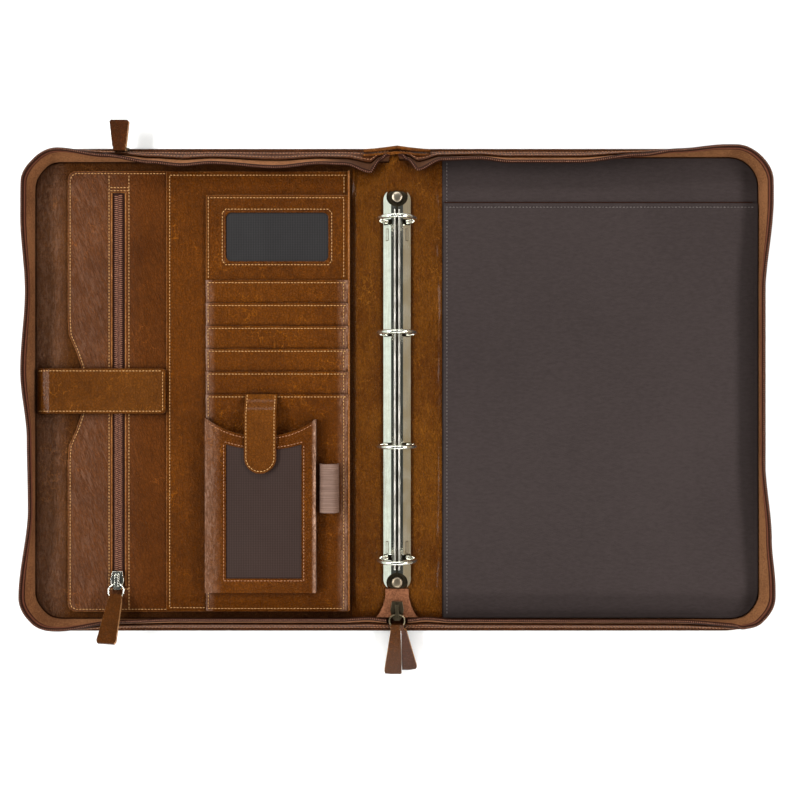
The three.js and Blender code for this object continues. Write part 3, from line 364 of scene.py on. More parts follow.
# Outer cover: two padded boards and the spine under one glazed walnut hide. It is glued down and
# turned over the boards, and the whole case lies on it.
walnut = hide("walnut", shade(88, 40, 10), shade(58, 22, 4), gloss=0.38)
piece("outer_hide", cut_like("outer_cover"), walnut, ["outer_cover"], smooth=50)

# Gusset: a leather strip, the zip's tape behind it and its teeth, standing round each half. Strip
# and tape are sewn together along two seams, and their feet are caught under the tray's lining.
#
# The rows give the place on the way round (0-1 top, 1-2 corner, 2-3 side, 3-4 corner, 4-5 bottom),
# the lean outwards, and as shares of the height the reach upwards and how far in the tape's foot
# stands.
LEFT_WALL = (
    (0.024, -0.05, 0.25, 0.2), (0.05, -0.6, 0.55, 0.2), (0.08, -0.84, 1, 0.2),
    (0.154, -0.57, 1, 0.2), (0.228, -0.54, 1, 0.22), (0.361, -0.68, 1, 0.22),
    (0.553, -0.53, 1, 0.22), (0.641, -0.61, 1, 0.22), (0.728, -0.51, 1, 0.22),
    (0.86, -0.26, 1, 0.22), (1, -0.02, 1, 0.22), (1.5, -0.05, 1, 0.11), (2.083, 0.1, 1, 0),
    (2.262, -0.08, 1, 0), (2.454, 0.1, 1, 0), (2.621, -0.15, 1, 0), (2.788, -0.19, 1, 0),
    (3, 0.17, 1, 0), (3.5, 0.08, 1, 0.08), (4, -0.02, 1, 0.17), (4.18, -0.36, 0.86, 0.17),
    (4.34, -0.4, 1, 0.17), (4.84, -0.4, 1, 0.17), (4.916, -0.5, 0.85, 0.17),
    (4.967, -0.5, 0.65, 0.17), (5, -0.5, 0.6, 0.17),
)
RIGHT_WALL = (
    (0.006, -0.05, 0.25, 0.12), (0.03, -0.55, 0.55, 0.12), (0.062, -0.76, 1, 0.12),
    (0.133, -0.4, 1, 0.12), (0.244, -0.36, 1, 0.04), (0.333, -0.48, 1, 0.04),
    (0.539, -0.48, 1, 0.04), (0.715, -0.24, 1, 0.04), (0.83, -0.06, 1, 0.04),
    (0.968, 0.1, 1, 0.04), (1.5, 0.04, 1, 0.03), (2.037, 0.1, 1, 0.02), (2.274, -0.22, 1, 0.02),
    (2.67, -0.22, 1, 0.02), (2.86, 0.02, 1, 0.02), (2.98, 0.17, 1, 0.02), (3.5, 0.05, 1, 0.09),
    (3.85, -0.07, 1, 0.15), (4.2, -0.36, 1, 0.17), (4.84, -0.38, 1, 0.17),
    (4.916, -0.5, 0.85, 0.17), (4.967, -0.5, 0.65, 0.17), (5, -0.5, 0.6, 0.17),
)
RUN, SIDE, ROUND = 239, 146.5, 28
HEIGHT = 20
FOOT = 5.3


def eased(rows, leg, column):
    """One column of the rows at any place between them, run smoothly from row to row."""
    if leg <= rows[0][0]:
        return rows[0][column]
    for low, high in zip(rows, rows[1:]):
        if leg <= high[0]:
            share = (leg - low[0]) / (high[0] - low[0])
            share = share * share * (3 - 2 * share)
            return low[column] + (high[column] - low[column]) * share
    return rows[-1][column]


def rim(side, leg):
    """A place on the cover's edge, and the way out of it."""
    part = min(int(leg), 4)
    share = leg - part
    if part == 0:
        return Vector((side * share * RUN, SIDE + ROUND, 0)), Vector((0, 1, 0))
    if part == 2:
        return Vector((side * (RUN + ROUND), SIDE * (1 - 2 * share), 0)), Vector((side, 0, 0))
    if part == 4:
        return Vector((side * (1 - share) * RUN, -SIDE - ROUND, 0)), Vector((0, -1, 0))
    angle = math.pi / 2 * ((1 - share) if part == 1 else -share)
    out = Vector((side * math.cos(angle), math.sin(angle), 0))
    return Vector((side * RUN, SIDE if part == 1 else -SIDE, 0)) + out * ROUND, out


def wall_point(side, rows, leg, along, across):
    """A place on the gusset: along its slope, as a share of its reach, and in through it in mm."""
    lean = eased(rows, leg, 1)
    edge, out = rim(side, leg)
    rise = math.sqrt(1 - lean * lean)
    bend, inset = 3, 2.6
    slope = along * (HEIGHT * eased(rows, leg, 2) - bend)
    up = FOOT + rise * slope + lean * across
    return edge + out * (-inset + lean * slope - rise * across) + Vector((0, 0, up))


def tape_foot(side, rows, leg):
    """Where the tape goes under the tray's lining."""
    edge, out = rim(side, leg)
    return edge - out * (5.6 + HEIGHT * eased(rows, leg, 3)) + Vector((0, 0, FOOT))


def places(first, last, step=2.6):
    """Legs of the way round, a few millimetres apart."""
    lengths = (RUN, ROUND * math.pi / 2, 2 * SIDE, ROUND * math.pi / 2, RUN)
    found = [first]
    while found[-1] < last - 1e-6:
        leg = found[-1]
        found.append(min(last, leg + step / lengths[min(int(leg + 1e-9), 4)]))
    return found


def gathered(whole, some):
    """One more finished length is added to a long piece; short lengths keep the making quick."""
    packet = bpy.data.meshes.new("packet")
    some.to_mesh(packet)
    some.free()
    whole.from_mesh(packet)
    bpy.data.meshes.remove(packet)


def swept(sections):
    """A closed section carried along a row of places; each section has as many points."""
    whole = bmesh.new()
    last = len(sections) - 1
    for start in range(0, last, 10):
        some = bmesh.new()
        rings = []
        for section in sections[start:start + 11]:
            ring = [some.verts.new(point) for point in section]
            rings.append([some.edges.new(pair) for pair in zip(ring, ring[1:] + ring[:1])])
        for near, far in zip(rings, rings[1:]):
            bmesh.ops.bridge_loops(some, edges=near + far)
        if start == 0:
            bmesh.ops.contextual_create(some, geom=rings[0])
        if start + 10 >= last:
            bmesh.ops.contextual_create(some, geom=rings[-1])
        gathered(whole, some)
    bmesh.ops.remove_doubles(whole, verts=whole.verts, dist=0.0005)
    return whole


def tube(path, radius, sides=10):
    """A round cord or wire of one thickness through a row of points."""
    sections = []
    for i, point in enumerate(path):
        ahead = (path[min(i + 1, len(path) - 1)] - path[max(i - 1, 0)]).normalized()
        turn = ahead.to_track_quat("Z", "Y")
        sections.append([
            point + turn @ Vector((math.cos(a), math.sin(a), 0)) * radius
            for a in (2 * math.pi * k / sides for k in range(sides))
        ])
    return swept(sections)


def rod(near, far, radius, steps=40, sides=10):
    """A straight tube, cut into short lengths."""
    path = [Vector(near).lerp(Vector(far), k / steps) for k in range(steps + 1)]
    return tube(path, radius, sides)


def beads(spots, size, seed=1, wobble=0.0):
    """Many small rounded lengths, of thread or of zip coil, in one mesh: (middle, direction)."""
    dice = random.Random(seed)
    whole = bmesh.new()
    for start in range(0, len(spots), 40):
        some = bmesh.new()
        for middle, ahead in spots[start:start + 40]:
            turn = ahead.to_track_quat("Z", "Y").to_matrix().to_4x4()
            slant = Matrix.Rotation(dice.uniform(-wobble, wobble), 4, "Y")
            place = Matrix.Translation(middle) @ turn @ slant @ Matrix.Diagonal((*size, 1))
            bmesh.ops.create_uvsphere(some, u_segments=6, v_segments=4, radius=0.5, matrix=place)
        gathered(whole, some)
    return whole


def sewn(line, pitch):
    """Where the stitches of a line lie: the line's points are joined and stepped along."""
    found = []
    spare = pitch / 2
    for near, far in zip(line, line[1:]):
        run = (far - near).length
        if run < 1e-6:
            continue
        ahead = (far - near) / run
        while spare < run:
            found.append((near + ahead * spare, ahead))
            spare += pitch
        spare -= run
    return found


def thread(
    name, lines, yarn, pitch=2.35, gauge=0.62, length=1.8, seed=1, level=None
):
    """Lines of machine stitches, each stitch a little out of true; flat lines lie at one level."""
    lines = [[Vector(p if level is None else (*p, level)) for p in line] for line in lines]
    stitches = [place for line in lines for place in sewn(line, pitch)]
    return piece(name, beads(stitches, (gauge, gauge, length), seed, 0.08), yarn, smooth=80)


def spun(name, pale, deep, gloss=0.6):
    """Waxed sewing thread: two plies, paler and darker in fine flecks."""
    yarn = Finish(name)
    plies = yarn.clouds(2600, 2, 0.5, 0.0)
    colour = yarn.tinted(yarn.between(plies, 0.35, 0.65), deep, pale)
    return yarn.done(
        base_color=colour, roughness=gloss, normal=yarn.relief(plies, 0.00012),
        specular_ior_level=0.12,
    )


tan_thread = spun("tan_thread", shade(224, 176, 118), shade(176, 124, 72))
rust_thread = spun("rust_thread", shade(196, 142, 104), shade(140, 88, 58))
grey_thread = spun("grey_thread", shade(150, 140, 136), shade(98, 90, 88))

binding = hide("binding", shade(84, 40, 12), shade(58, 22, 4), gloss=0.42, crinkle=0.6)


def strip_section(side, rows, leg):
    """The strip cut through: two bands with a pressed groove between them, and the turned foot."""
    face = (
        (0, 0), (0.04, -0.25), (0.27, -0.3), (0.29, -0.05), (0.33, 0.0), (0.56, -0.05), (0.6, 0.35),
    )
    behind = ((0.6, 1.1), (0.57, 1.5), (0.3, 1.5))
    section = [wall_point(side, rows, leg, along, across) for along, across in face + behind]
    edge, out = rim(side, leg)
    return section + [edge - out * 4.1 + Vector((0, 0, FOOT))]


def woven(name, pale, deep, fold_tone=None):
    """Close ribbed tape; its last argument, when given, is a darker colour where it folds down at
    the spine's upper end.
    """
    cloth = Finish(name)
    across = cloth.clouds(700, 2, 0.5)
    ribs_apart = 1.1117
    ribs = cloth.node(
        "ShaderNodeMath", [cloth.reach("Z") * (2 * math.pi / ribs_apart)], operation="SINE"
    )
    herring = cloth.cells(1100, feature="F1")
    clouds = cloth.clouds(30, 4, 0.6)
    mix = cloth.between(clouds + (herring - 0.4) * 0.5 + (across - 0.5) * 0.6, 0.25, 0.8)
    colour = cloth.tinted(mix, deep, pale)
    if fold_tone:
        # Darker where the tape folds down at the spine's upper end.
        sideways = cloth.reach("X") * cloth.reach("X")
        folded = cloth.between(cloth.reach("Y"), 148, 158) * cloth.between(sideways, 3400, 1100)
        colour = cloth.tinted(folded * 0.85, colour, fold_tone)
    bump = cloth.relief(ribs * 0.4 + herring, 0.00018)
    return cloth.done(base_color=colour, roughness=0.85, normal=bump, specular_ior_level=0.15)


tape_cloth = woven("tape_cloth", shade(150, 100, 64), shade(112, 70, 42), shade(62, 36, 22))


def tape_section(side, rows, leg):
    """The tape cut through: it bellies between its foot and the strip's upper edge."""
    foot = tape_foot(side, rows, leg)
    edge, out = rim(side, leg)
    low = wall_point(side, rows, leg, 0.6, 3.0)
    ripple = noise.noise(Vector((edge.x, edge.y, 0)) * 0.045) * 0.5
    belly = foot.lerp(low, 0.5) - out * (0.35 + ripple) + Vector((0, 0, 0.3))
    over = [
        wall_point(side, rows, leg, along, across)
        for along, across in ((0.97, 3.0), (1, 2.6), (0.97, 1.8), (0.6, 1.8))
    ]
    return [foot, belly, low] + over + [foot + out * 1.2]


coil_look = spun("coil_look", shade(168, 118, 94), shade(88, 52, 38), 0.42)
coil_shadow = spun("coil_shadow", shade(52, 24, 12), shade(36, 15, 7), 0.7)
coil_cord = spun("coil_cord", shade(122, 70, 50), shade(92, 50, 34), 0.6)
tooth_pitch = 1.45
tape_end = 5 - 7.7 / RUN
strip_end = 5 - 0.0007
for name, side, rows in (("left", -1, LEFT_WALL), ("right", 1, RIGHT_WALL)):
    first = rows[0][0]
    strip = swept([strip_section(side, rows, leg) for leg in places(first, strip_end)])
    piece(f"strip_{name}", strip, binding, [f"gusset_strip_{name}"], smooth=60)
    tape = swept([tape_section(side, rows, leg) for leg in places(first, tape_end)])
    piece(f"tape_{name}", tape, tape_cloth, [f"zip_tape_{name}"], smooth=60)
    fine_steps = places(first, tape_end, 0.5)
    spine_line = [wall_point(side, rows, leg, 1.07, 2.4) for leg in fine_steps]
    across_teeth = []
    for middle, ahead in sewn(spine_line, tooth_pitch):
        up = Vector((0, 0, 1)) - ahead * ahead.z
        across_teeth.append((middle, up.normalized()))
    row = beads(across_teeth, (1.35, 0.8, 2.5), 3)
    piece(f"teeth_{name}", row, coil_look, [f"zip_teeth_{name}"], smooth=80, outward=False)
    # The core and the ditch are dark cords: painted shade between the teeth and in the groove below
    # the tape's stitches.
    for part, along, across, gauge, look in (
        ("core_shadow", 1.03, 2.4, 1.25, coil_shadow), ("cord", 0.92, 3.1, 0.8, coil_cord),
        ("ditch_shadow", 0.8, 2.9, 0.62, coil_shadow),
    ):
        line = [wall_point(side, rows, leg, along, across) for leg in places(first, tape_end)]
        piece(f"zip_{part}_{name}", tube(line, gauge, 8), look, smooth=80)
    ridge = [wall_point(side, rows, leg, 0.8, 3.45) for leg in fine_steps]
    thread(
        f"zip_thread_{name}", [ridge], coil_cord,
        pitch=tooth_pitch, gauge=0.5, length=0.9, seed=15,
    )
    seams = [
        [wall_point(side, rows, leg, along, proud) for leg in places(first, 4.995)]
        for along, proud in ((0.17, -0.32), (0.47, -0.12))
    ]
    thread(f"strip_thread_{name}", seams, rust_thread, seed=5)
    fold_legs = [first + (rows[2][0] - first) * k / 8 for k in range(9)]
    fold = [wall_point(side, rows, leg, 1.0, 2.2) for leg in fold_legs]
    piece(f"fold_binding_{name}", tube(fold, 0.8), rust_thread, smooth=80)

# Tray linings: plain glazed hide on the left, and on the spine, where the binder pulls it into
# two long rolls with wrinkles along them; fine black-brown twill on the right.
# A pale painted sheen lies on the lining near its left edge.
lining_hide = hide(
    "lining_hide", shade(92, 50, 14), shade(60, 26, 4), gloss=0.38, sheen_bands=((-234, -247, 0.14),)
)
piece("left_floor", cut_like("left_lining"), lining_hide, ["left_lining"])


def twill(name, pale, deep):
    """Fine diagonal weave with short slubs, with painted shade where a fold or an edge shelters it.
    """
    cloth = Finish(name)
    slant = cloth.stretched(1, 1, 1, 0.6)
    fine = cloth.node(
        "ShaderNodeTexWave", {"Vector": slant, "Scale": 420, "Distortion": 1.2, "Detail": 2}
    )
    slubs = cloth.clouds(420, 3, 0.6, 0.0, cloth.stretched(0.6, 1.6, 1))
    broad = cloth.clouds(7, 3, 0.5)
    mix = cloth.between(fine * 0.3 + slubs * 0.7 + broad * 0.5, 0.45, 1.05)
    colour = cloth.tinted(mix, deep, pale)
    # Painted shade in folds and under edges.
    colour = cloth.tinted(cloth.painted_shade_mask(0.02) * 0.6, colour, tuple(c * 0.3 for c in deep))
    swell = cloth.relief(cloth.clouds(11, 2, 0.5), 0.0012)
    return cloth.done(
        base_color=colour, roughness=0.82, normal=cloth.relief(fine * 0.5 + slubs, 0.00016, swell),
        specular_ior_level=0.12,
    )


twill_cloth = twill("twill_cloth", shade(60, 51, 50), shade(48, 40, 39))
piece("right_floor", cut_like("right_lining"), twill_cloth, ["right_lining"])

spine_hide = hide(
    "spine_hide", shade(122, 70, 12), shade(80, 36, 2), gloss=0.32,
    crease=(1.35, 0.8, 1), crinkle=1.2,
)
ROLLS = (
    (-32.4, 0), (-29.2, 1.62), (-25.9, 1.1), (-19.4, 1.8), (-13, 0.7), (-10.4, 0), (10.4, 0),
    (13, 0.7), (19.4, 1.8), (27.5, 1.26), (32.4, 0),
)
spine_half, spine_foot, spine_face = 32.4, -164.3, 6.3
fade_run = 24
columns = sorted(
    {-5.54, -5.44, 1.13, 1.23} | {-spine_half + 2 * spine_half * k / 54 for k in range(55)}
)


def wrinkle_at(x, y):
    """Long wrinkles and a few short ones, none where the binder lies."""
    high = noise.noise(Vector((x * 0.32, y * 0.05, 3))) * 0.35
    high += noise.noise(Vector((x * 0.1, y * 0.13, 9))) * 0.2
    return high * min(1, max(0, (abs(x) - 10.5) / 6))


sheet = bmesh.new()
bmesh.ops.create_grid(sheet, x_segments=len(columns) - 1, y_segments=130, size=1)
for vert in sheet.verts:
    x = columns[round((vert.co.x + 1) / 2 * (len(columns) - 1))]
    tongue = -5.45 < x < 1.14
    top = 171.9 if tongue else (163.7 if x < 0 else 165.3)
    y = spine_foot + (top - spine_foot) * (vert.co.y + 1) / 2
    fade = min(1, max(0, (top - y) / fade_run)) * min(1, max(0, (y - spine_foot) / fade_run))
    vert.co = (x, y, spine_face + (eased(ROLLS, x, 1) + wrinkle_at(x, y)) * fade)
solid = bmesh.ops.extrude_face_region(sheet, geom=sheet.faces[:])["geom"]
for vert in [part for part in solid if isinstance(part, bmesh.types.BMVert)]:
    vert.co.z = FOOT
piece("spine_hide", sheet, spine_hide, ["spine_leather"], smooth=60)

# Folds at the spine's upper end: the hide is drawn up to a peak there and lies in two small rolls,
# which run across from one half's strip to the other's.
fold_hide = hide("fold_hide", shade(136, 78, 22), shade(88, 42, 8), gloss=0.3, crinkle=0.6)
for name, high, low, gauge in (("upper", 174.4, 171.8, 1.4), ("lower", 170.6, 168.6, 1.2)):
    fold = tube([
        Vector((2 * k, low + (high - low) * (1 - abs(k) / 12) ** 1.5, 8.2)) for k in range(-12, 13)
    ], gauge, 12)
    piece(f"spine_fold_{name}", fold, fold_hide, smooth=80)

# Document pocket: a wide panel of the same hide with a scalloped open edge, sewn down round it,
# and a slot with a zip whose edges are turned over a light welt.
# A faint painted sheen lies over the pocket panel's left part.
pocket_hide = hide(
    "pocket_hide", shade(98, 48, 8), shade(72, 30, 1), gloss=0.38, crease=(1.2, 0.75, 1), turn=0.35,
    sheen_bands=((-178, -225, 0.13),),
)
dressed("pocket_panel", "document_pocket", [pocket_hide, rubbed], 0.45, (1.9,))

scallop_deep, scallop_half, scallop_middle = 11.2, 50.5, -0.6
pocket_seam = -235.2
edge_line = [(-166.5, 155.5), (-231, 155.5), (-234, 154), (pocket_seam, 151)]
edge_line += [
    (pocket_seam + scallop_deep * deep, scallop_middle + scallop_half * along)
    for along, deep in (
        (1, 0), (0.79, 0.07), (0.55, 0.55), (0.34, 0.87), (0, 1), (-0.34, 0.87), (-0.55, 0.55),
        (-0.79, 0.07), (-1, 0),
    )
]
edge_line += [(pocket_seam, -153.5), (-234, -156.5), (-231, -158), (-166.5, -158)]
slot_lines = [[(x, 154.5), (x, -157)] for x in (-207.2, -192.9)]
slot_lines += [[(-206.6, y), (-193.6, y)] for y in (143.2, 145.4, -143.4)]
thread("pocket_thread", [edge_line] + slot_lines, tan_thread, level=8.05)

welt_hide = hide("welt_hide", shade(170, 112, 60), shade(128, 74, 32), gloss=0.4, crinkle=0.5)
for name, x in (("left", -205.2), ("right", -195.3)):
    welt = rod((x, -141, 7.95), (x, 141.4, 7.95), 0.55)
    piece(f"slot_welt_{name}", welt, welt_hide, smooth=80)

# Zip of the pocket: two woven tapes, sewn under the slot's edges, that meet under a nylon coil. The
# coil's turns lean to either side in step.
# The tapes take the dark coil_shadow finish: painted shade down in the slot.
piece("pocket_tape", cut_like("pocket_zip"), coil_shadow, ["pocket_zip"])
pocket_zip_x = -200.25
coil_pitch, coil_length = 0.72, 281
coils = []
for k in range(int(coil_length / coil_pitch)):
    lean = 1 if k % 2 else -1
    middle = Vector((pocket_zip_x + lean * 1.35, -140.6 + k * coil_pitch, 8.75))
    coils.append((middle, Vector((1, 0.16 * lean, 0.0)).normalized()))
piece("pocket_coil", beads(coils, (0.85, 0.8, 3.4), 7), coil_look, smooth=80)

# Overlay and card column: thin panels of brighter hide, glued and sewn on the document pocket one
# over the other, each with its edge turned; the overlay and the window's surround have a seam
# pressed in.
panel_hide = hide("panel_hide", shade(108, 54, 2), shade(74, 32, 0), gloss=0.32)
dressed("overlay", "overlay_panel", [panel_hide, rubbed], 0.45, (2.6,))
dressed("card_back", "card_panel", [panel_hide, rubbed], 0.35)
dressed("id_surround", "id_frame", [panel_hide, rubbed], 0.4, (1.6, 0.8))
overlay_lines = [
    [(-137.5, 154.0), (-163.2, 154.0), (-163.2, -156.5), (-137.5, -156.5)],
    [(-137, 154.0), (-36.5, 154.0)], [(-38.1, 153), (-38.1, 141)],
]
thread("overlay_thread", overlay_lines, tan_thread, seed=2, level=9.55)
id_border = [(-134.9, 79.5), (-134.9, 137.2), (-38.1, 137.2), (-38.1, 79.5)]
id_corners = [
    (-124.9, 126.3), (-122.4, 129.0), (-49.2, 129.0), (-46.7, 126.3), (-46.7, 92.0), (-49.2, 89.3),
    (-122.4, 89.3), (-124.9, 92.0), (-124.9, 126.3),
]
id_lines = [[(*place, 12.35) for place in id_border], [(*place, 12.4) for place in id_corners]]
thread("id_thread", id_lines, tan_thread, seed=3)


# Windows: clear film over a dark mesh, caught under the edge of the opening in the hide, so that a
# fine grid shows through the gloss.
def filmed(name, tone, stripe):
    film = Finish(name)
    threads = 260
    up = film.node(
        "ShaderNodeTexWave",
        {"Vector": film.stretched(1, 0.02, 0.02), "Scale": threads, "Distortion": 0.6},
    )
    across = film.node(
        "ShaderNodeTexWave", {"Vector": film.stretched(0.02, 1, 0.02), "Scale": threads},
        bands_direction="Y",
    )
    mesh = film.between(up * 0.6 + across * 0.4, 0.2, 0.9)
    colour = film.tinted(mesh * 0.8 + (film.clouds(24) - 0.5) * 0.3, tone, stripe)
    ripple = film.relief(film.clouds(30, 2, 0.5), 0.0012)
    return film.done(
        base_color=colour, roughness=0.5, normal=ripple, coat_weight=0.25, coat_roughness=0.1,
        specular_ior_level=0.2,
    )


window_film = filmed("window_film", shade(28, 26, 27), shade(50, 48, 48))
warm_film = filmed("warm_film", shade(40, 26, 22), shade(64, 48, 42))


def round_corners(left, right, bottom, top, radius):
    """A rounded rectangle's outline, anticlockwise from the lower right."""
    found = []
    for x, y, start in (
        (right - radius, bottom + radius, -90), (right - radius, top - radius, 0),
        (left + radius, top - radius, 90), (left + radius, bottom + radius, 180),
    ):
        for angle in (math.radians(start + 15 * k) for k in range(7)):
            found.append((x + radius * math.cos(angle), y + radius * math.sin(angle)))
    return found


def turned_frame(name, left, right, bottom, top, level, wide=1.7):
    """An edge of hide that is turned under round a window, with round corners."""
    inner = round_corners(left, right, bottom, top, 3.8)
    outer = round_corners(left - wide, right + wide, bottom - wide, top + wide, 2.9)
    turned = ((0, -0.7), (0, 0.1), (0.18, 0.36), (0.5, 0.42), (0.85, 0.2), (1, 0.02), (0.8, -0.1))
    sections = [
        [Vector((x + (far_x - x) * share, y + (far_y - y) * share, level + rise))
         for share, rise in turned]
        for (x, y), (far_x, far_y) in zip(inner, outer)
    ]
    piece(name, swept(sections + sections[:1]), panel_hide, smooth=60)


turned_frame("id_rim", -122.3, -49.2, 91.8, 126.5, 12.3)
for node, look in (("id_window", window_film), ("phone_window", warm_film)):
    pane = cut_like(node)
    if node == "phone_window":
        for vert in pane.verts:
            if vert.co.y > -50:
                vert.co.y = -38.7
    roll_edges(pane, 0.15, 2)
    piece(node + "_film", pane, [look, look], [node])


# Card slots: strips of the hide that overlap like shingles, sewn down at both ends. Each lip is
# folded over and stitched, gapes a little and droops where its ends are held.
# A pale painted sheen lies at both ends of the slots, where their drooping ends would catch the
# lamps.
slot_hide = hide(
    "slot_hide", shade(110, 56, 3), shade(78, 34, 0), gloss=0.3,
    sheen_bands=((-129, -137, 0.42), (-44, -35.5, 0.4)),
)
LIPS = [78.2 - 16.3 * n for n in range(6)]
column_left, column_wide, column_base = -136.7, 101.9, 11.1
slot_base = column_base + 1.2


def shingle(top, foot, bottom, seed, steps=60):
    """One strip from its lip down to where the next covers it; the seed sets how its lip waves."""
    sections = []
    for k in range(steps + 1):
        x = column_left + column_wide * k / steps
        from_end = min(k, steps - k)
        held = min(1, from_end / 6)
        droop = 0.9 * max(0, 1 - from_end / 4) ** 2
        gape = (0.25 + noise.noise(Vector((x * 0.06, seed, 0))) * 0.45) * held
        fold = top + noise.noise(Vector((x * 0.05, seed, 4))) * 0.3 * held
        lip = 13.8 + gape * 0.4
        raised = [
            (fold - 0.35, lip), (fold, lip - 0.3), (fold, lip - 0.85), (fold - 0.35, lip - 1.2),
        ]
        face = [
            (bottom, slot_base), (foot, slot_base),
            (top - 3.4, 13.45 + gape * 0.3), (top - 2.1, 13.42 + gape * 0.35),
            (top - 1.2, 13.7 + gape * 0.4),
        ]
        sections.append(
            [Vector((x, y, z - droop)) for y, z in raised]
            + [Vector((x, foot, column_base)), Vector((x, bottom, column_base))]
            + [Vector((x, y, z - droop)) for y, z in face]
        )
    return swept(sections)


seam_left, seam_right, seam_end, on_lip = -134.9, -38.1, -37.0, 13.6
slot_seams = []
for n in range(5):
    slot = shingle(LIPS[n], LIPS[n + 1] + 1.4, LIPS[n + 1] + 0.3, n)
    piece(f"slot_{n + 1}", slot, slot_hide, [f"card_slot_{n + 1}"], smooth=70)
    slot_seams.append([(x, LIPS[n] - 1.9, on_lip) for x in (seam_left, seam_end)])
    for x in (seam_left, seam_right):
        slot_seams.append([(x, LIPS[n] - 2.2, on_lip), (x, LIPS[n + 1] + 1.4, 12.45)])
last_lip = LIPS[5]
lower = shingle(last_lip, last_lip - 16.3, -158.3, 9)
piece("lower_panel", lower, slot_hide, ["lower_card_panel"], smooth=70)
slot_seams.append([(x, last_lip - 1.9, on_lip) for x in (seam_left, seam_end)])
going_down = ((last_lip - 2.2, 13.55), (last_lip - 16, 12.4), (-156.4, 12.4))
slot_seams.append(
    [(seam_left, *place) for place in going_down]
    + [(seam_right, *place) for place in reversed(going_down)]
)
thread("slot_thread", slot_seams, tan_thread, seed=4)
edge_welt = rod((-34.5, -158, 11.7), (-34.5, 156.5, 11.7), 0.75, 50)
piece("column_welt", edge_welt, welt_hide, smooth=80)

# Phone pocket: a stiff box of hide with a dipped mouth, a window framed by a stitched band, and
# a closing tab that comes out over the lowest card slot.
phone_left, phone_right, phone_bottom, phone_face = -135.9, -57.5, -143.8, 19.6
pane_left, pane_right, pane_bottom = -121, -67.4, -133.7
pane_middle = (pane_left + pane_right) / 2


def mouth_at(x):
    """The dipped edge of the pocket's mouth."""
    share = (x - phone_left) / (phone_right - phone_left)
    return -20.0 - 12.2 * (1 - abs(2 * share - 1) ** 2.3) - 1.2 * share


def crown_at(x):
    """The window's upper edge follows the mouth."""
    return -38.6 - 4.2 * (1 - min(1, abs(x - pane_middle) / 26.8) ** 2)


# A pale painted sheen lies along the pocket's left side, and a painted highlight along its right
# edge.
phone_hide = hide(
    "phone_hide", shade(110, 56, 3), shade(78, 34, 0), gloss=0.3,
    sheen_bands=((-123, -134, 0.33), (-60.6, -58.2, 0.85)),
)
band_steps, pane_steps = 4, 20
phone_columns = (
    [phone_left + (pane_left - phone_left) * k / band_steps for k in range(band_steps)]
    + [pane_left + (pane_right - pane_left) * k / pane_steps for k in range(pane_steps + 1)]
    + [pane_right + (phone_right - pane_right) * (k + 1) / band_steps for k in range(band_steps)]
)
phone = bmesh.new()
bmesh.ops.create_grid(phone, x_segments=len(phone_columns) - 1, y_segments=3, size=1)
for vert in phone.verts:
    x = phone_columns[round((vert.co.x + 1) / 2 * (len(phone_columns) - 1))]
    row = round((vert.co.y + 1) * 1.5)
    vert.co = (x, (phone_bottom, pane_bottom, crown_at(x), mouth_at(x))[row], phone_face)
middles = [(face, face.calc_center_median()) for face in phone.faces]
bmesh.ops.delete(phone, context="FACES", geom=[
    face for face, middle in middles
    if pane_left < middle.x < pane_right and pane_bottom < middle.y < -50
])
sides = [
    edge for edge in phone.edges
    if edge.is_boundary and (
        all(v.co.x < phone_left + 0.1 for v in edge.verts)
        or all(v.co.x > phone_right - 0.1 for v in edge.verts)
        or all(v.co.y < phone_bottom + 0.1 for v in edge.verts)
    )
]
for step in (0.5, 6.5):
    walls = bmesh.ops.extrude_edge_only(phone, edges=sides)["geom"]
    lowered = [part for part in walls if isinstance(part, bmesh.types.BMVert)]
    bmesh.ops.translate(phone, verts=lowered, vec=(0, 0, -step))
    sides = [part for part in walls if isinstance(part, bmesh.types.BMEdge)]
bmesh.ops.recalc_face_normals(phone, faces=phone.faces[:])
bmesh.ops.solidify(phone, geom=phone.faces[:], thickness=1.2)
piece("phone_box", phone, phone_hide, ["phone_pocket"])
mouth_places = [-133.5 + 74 * k / 30 for k in range(31)]
crown_places = [-122.2 + 56 * k / 24 for k in range(25)]
pane_seam = [(-122.5, -38.5), (-122.5, -135.2), (-65.9, -135.2), (-65.9, -38.5)]
phone_lines = [
    [(x, mouth_at(x) - 1.9) for x in mouth_places], [(x, crown_at(x) + 1.5) for x in crown_places],
    pane_seam,
]
thread("phone_thread", phone_lines, rust_thread, seed=6, level=phone_face + 0.05)

# Closing tab: a lined tongue of hide, fixed behind the lowest card slot. It climbs on to the
# pocket's face, ends in a half circle and is stitched all round.
tab_hide = hide("tab_hide", shade(122, 67, 10), shade(90, 44, 2), gloss=0.42, crinkle=0.7)


def flat_strap(low, high, level, thickness):
    """A strap cut through, as (across, up), with rounded edges and a face a little hollowed."""
    edge, top = thickness * 0.3, level + thickness
    seam, pressed = 2.6, top - 0.12
    return [
        (low + edge, level), (high - edge, level), (high, level + edge), (high, top - edge),
        (high - edge, top), (high - seam, pressed), (low + seam, pressed), (low + edge, top),
        (low, top - edge), (low, level + edge),
    ]


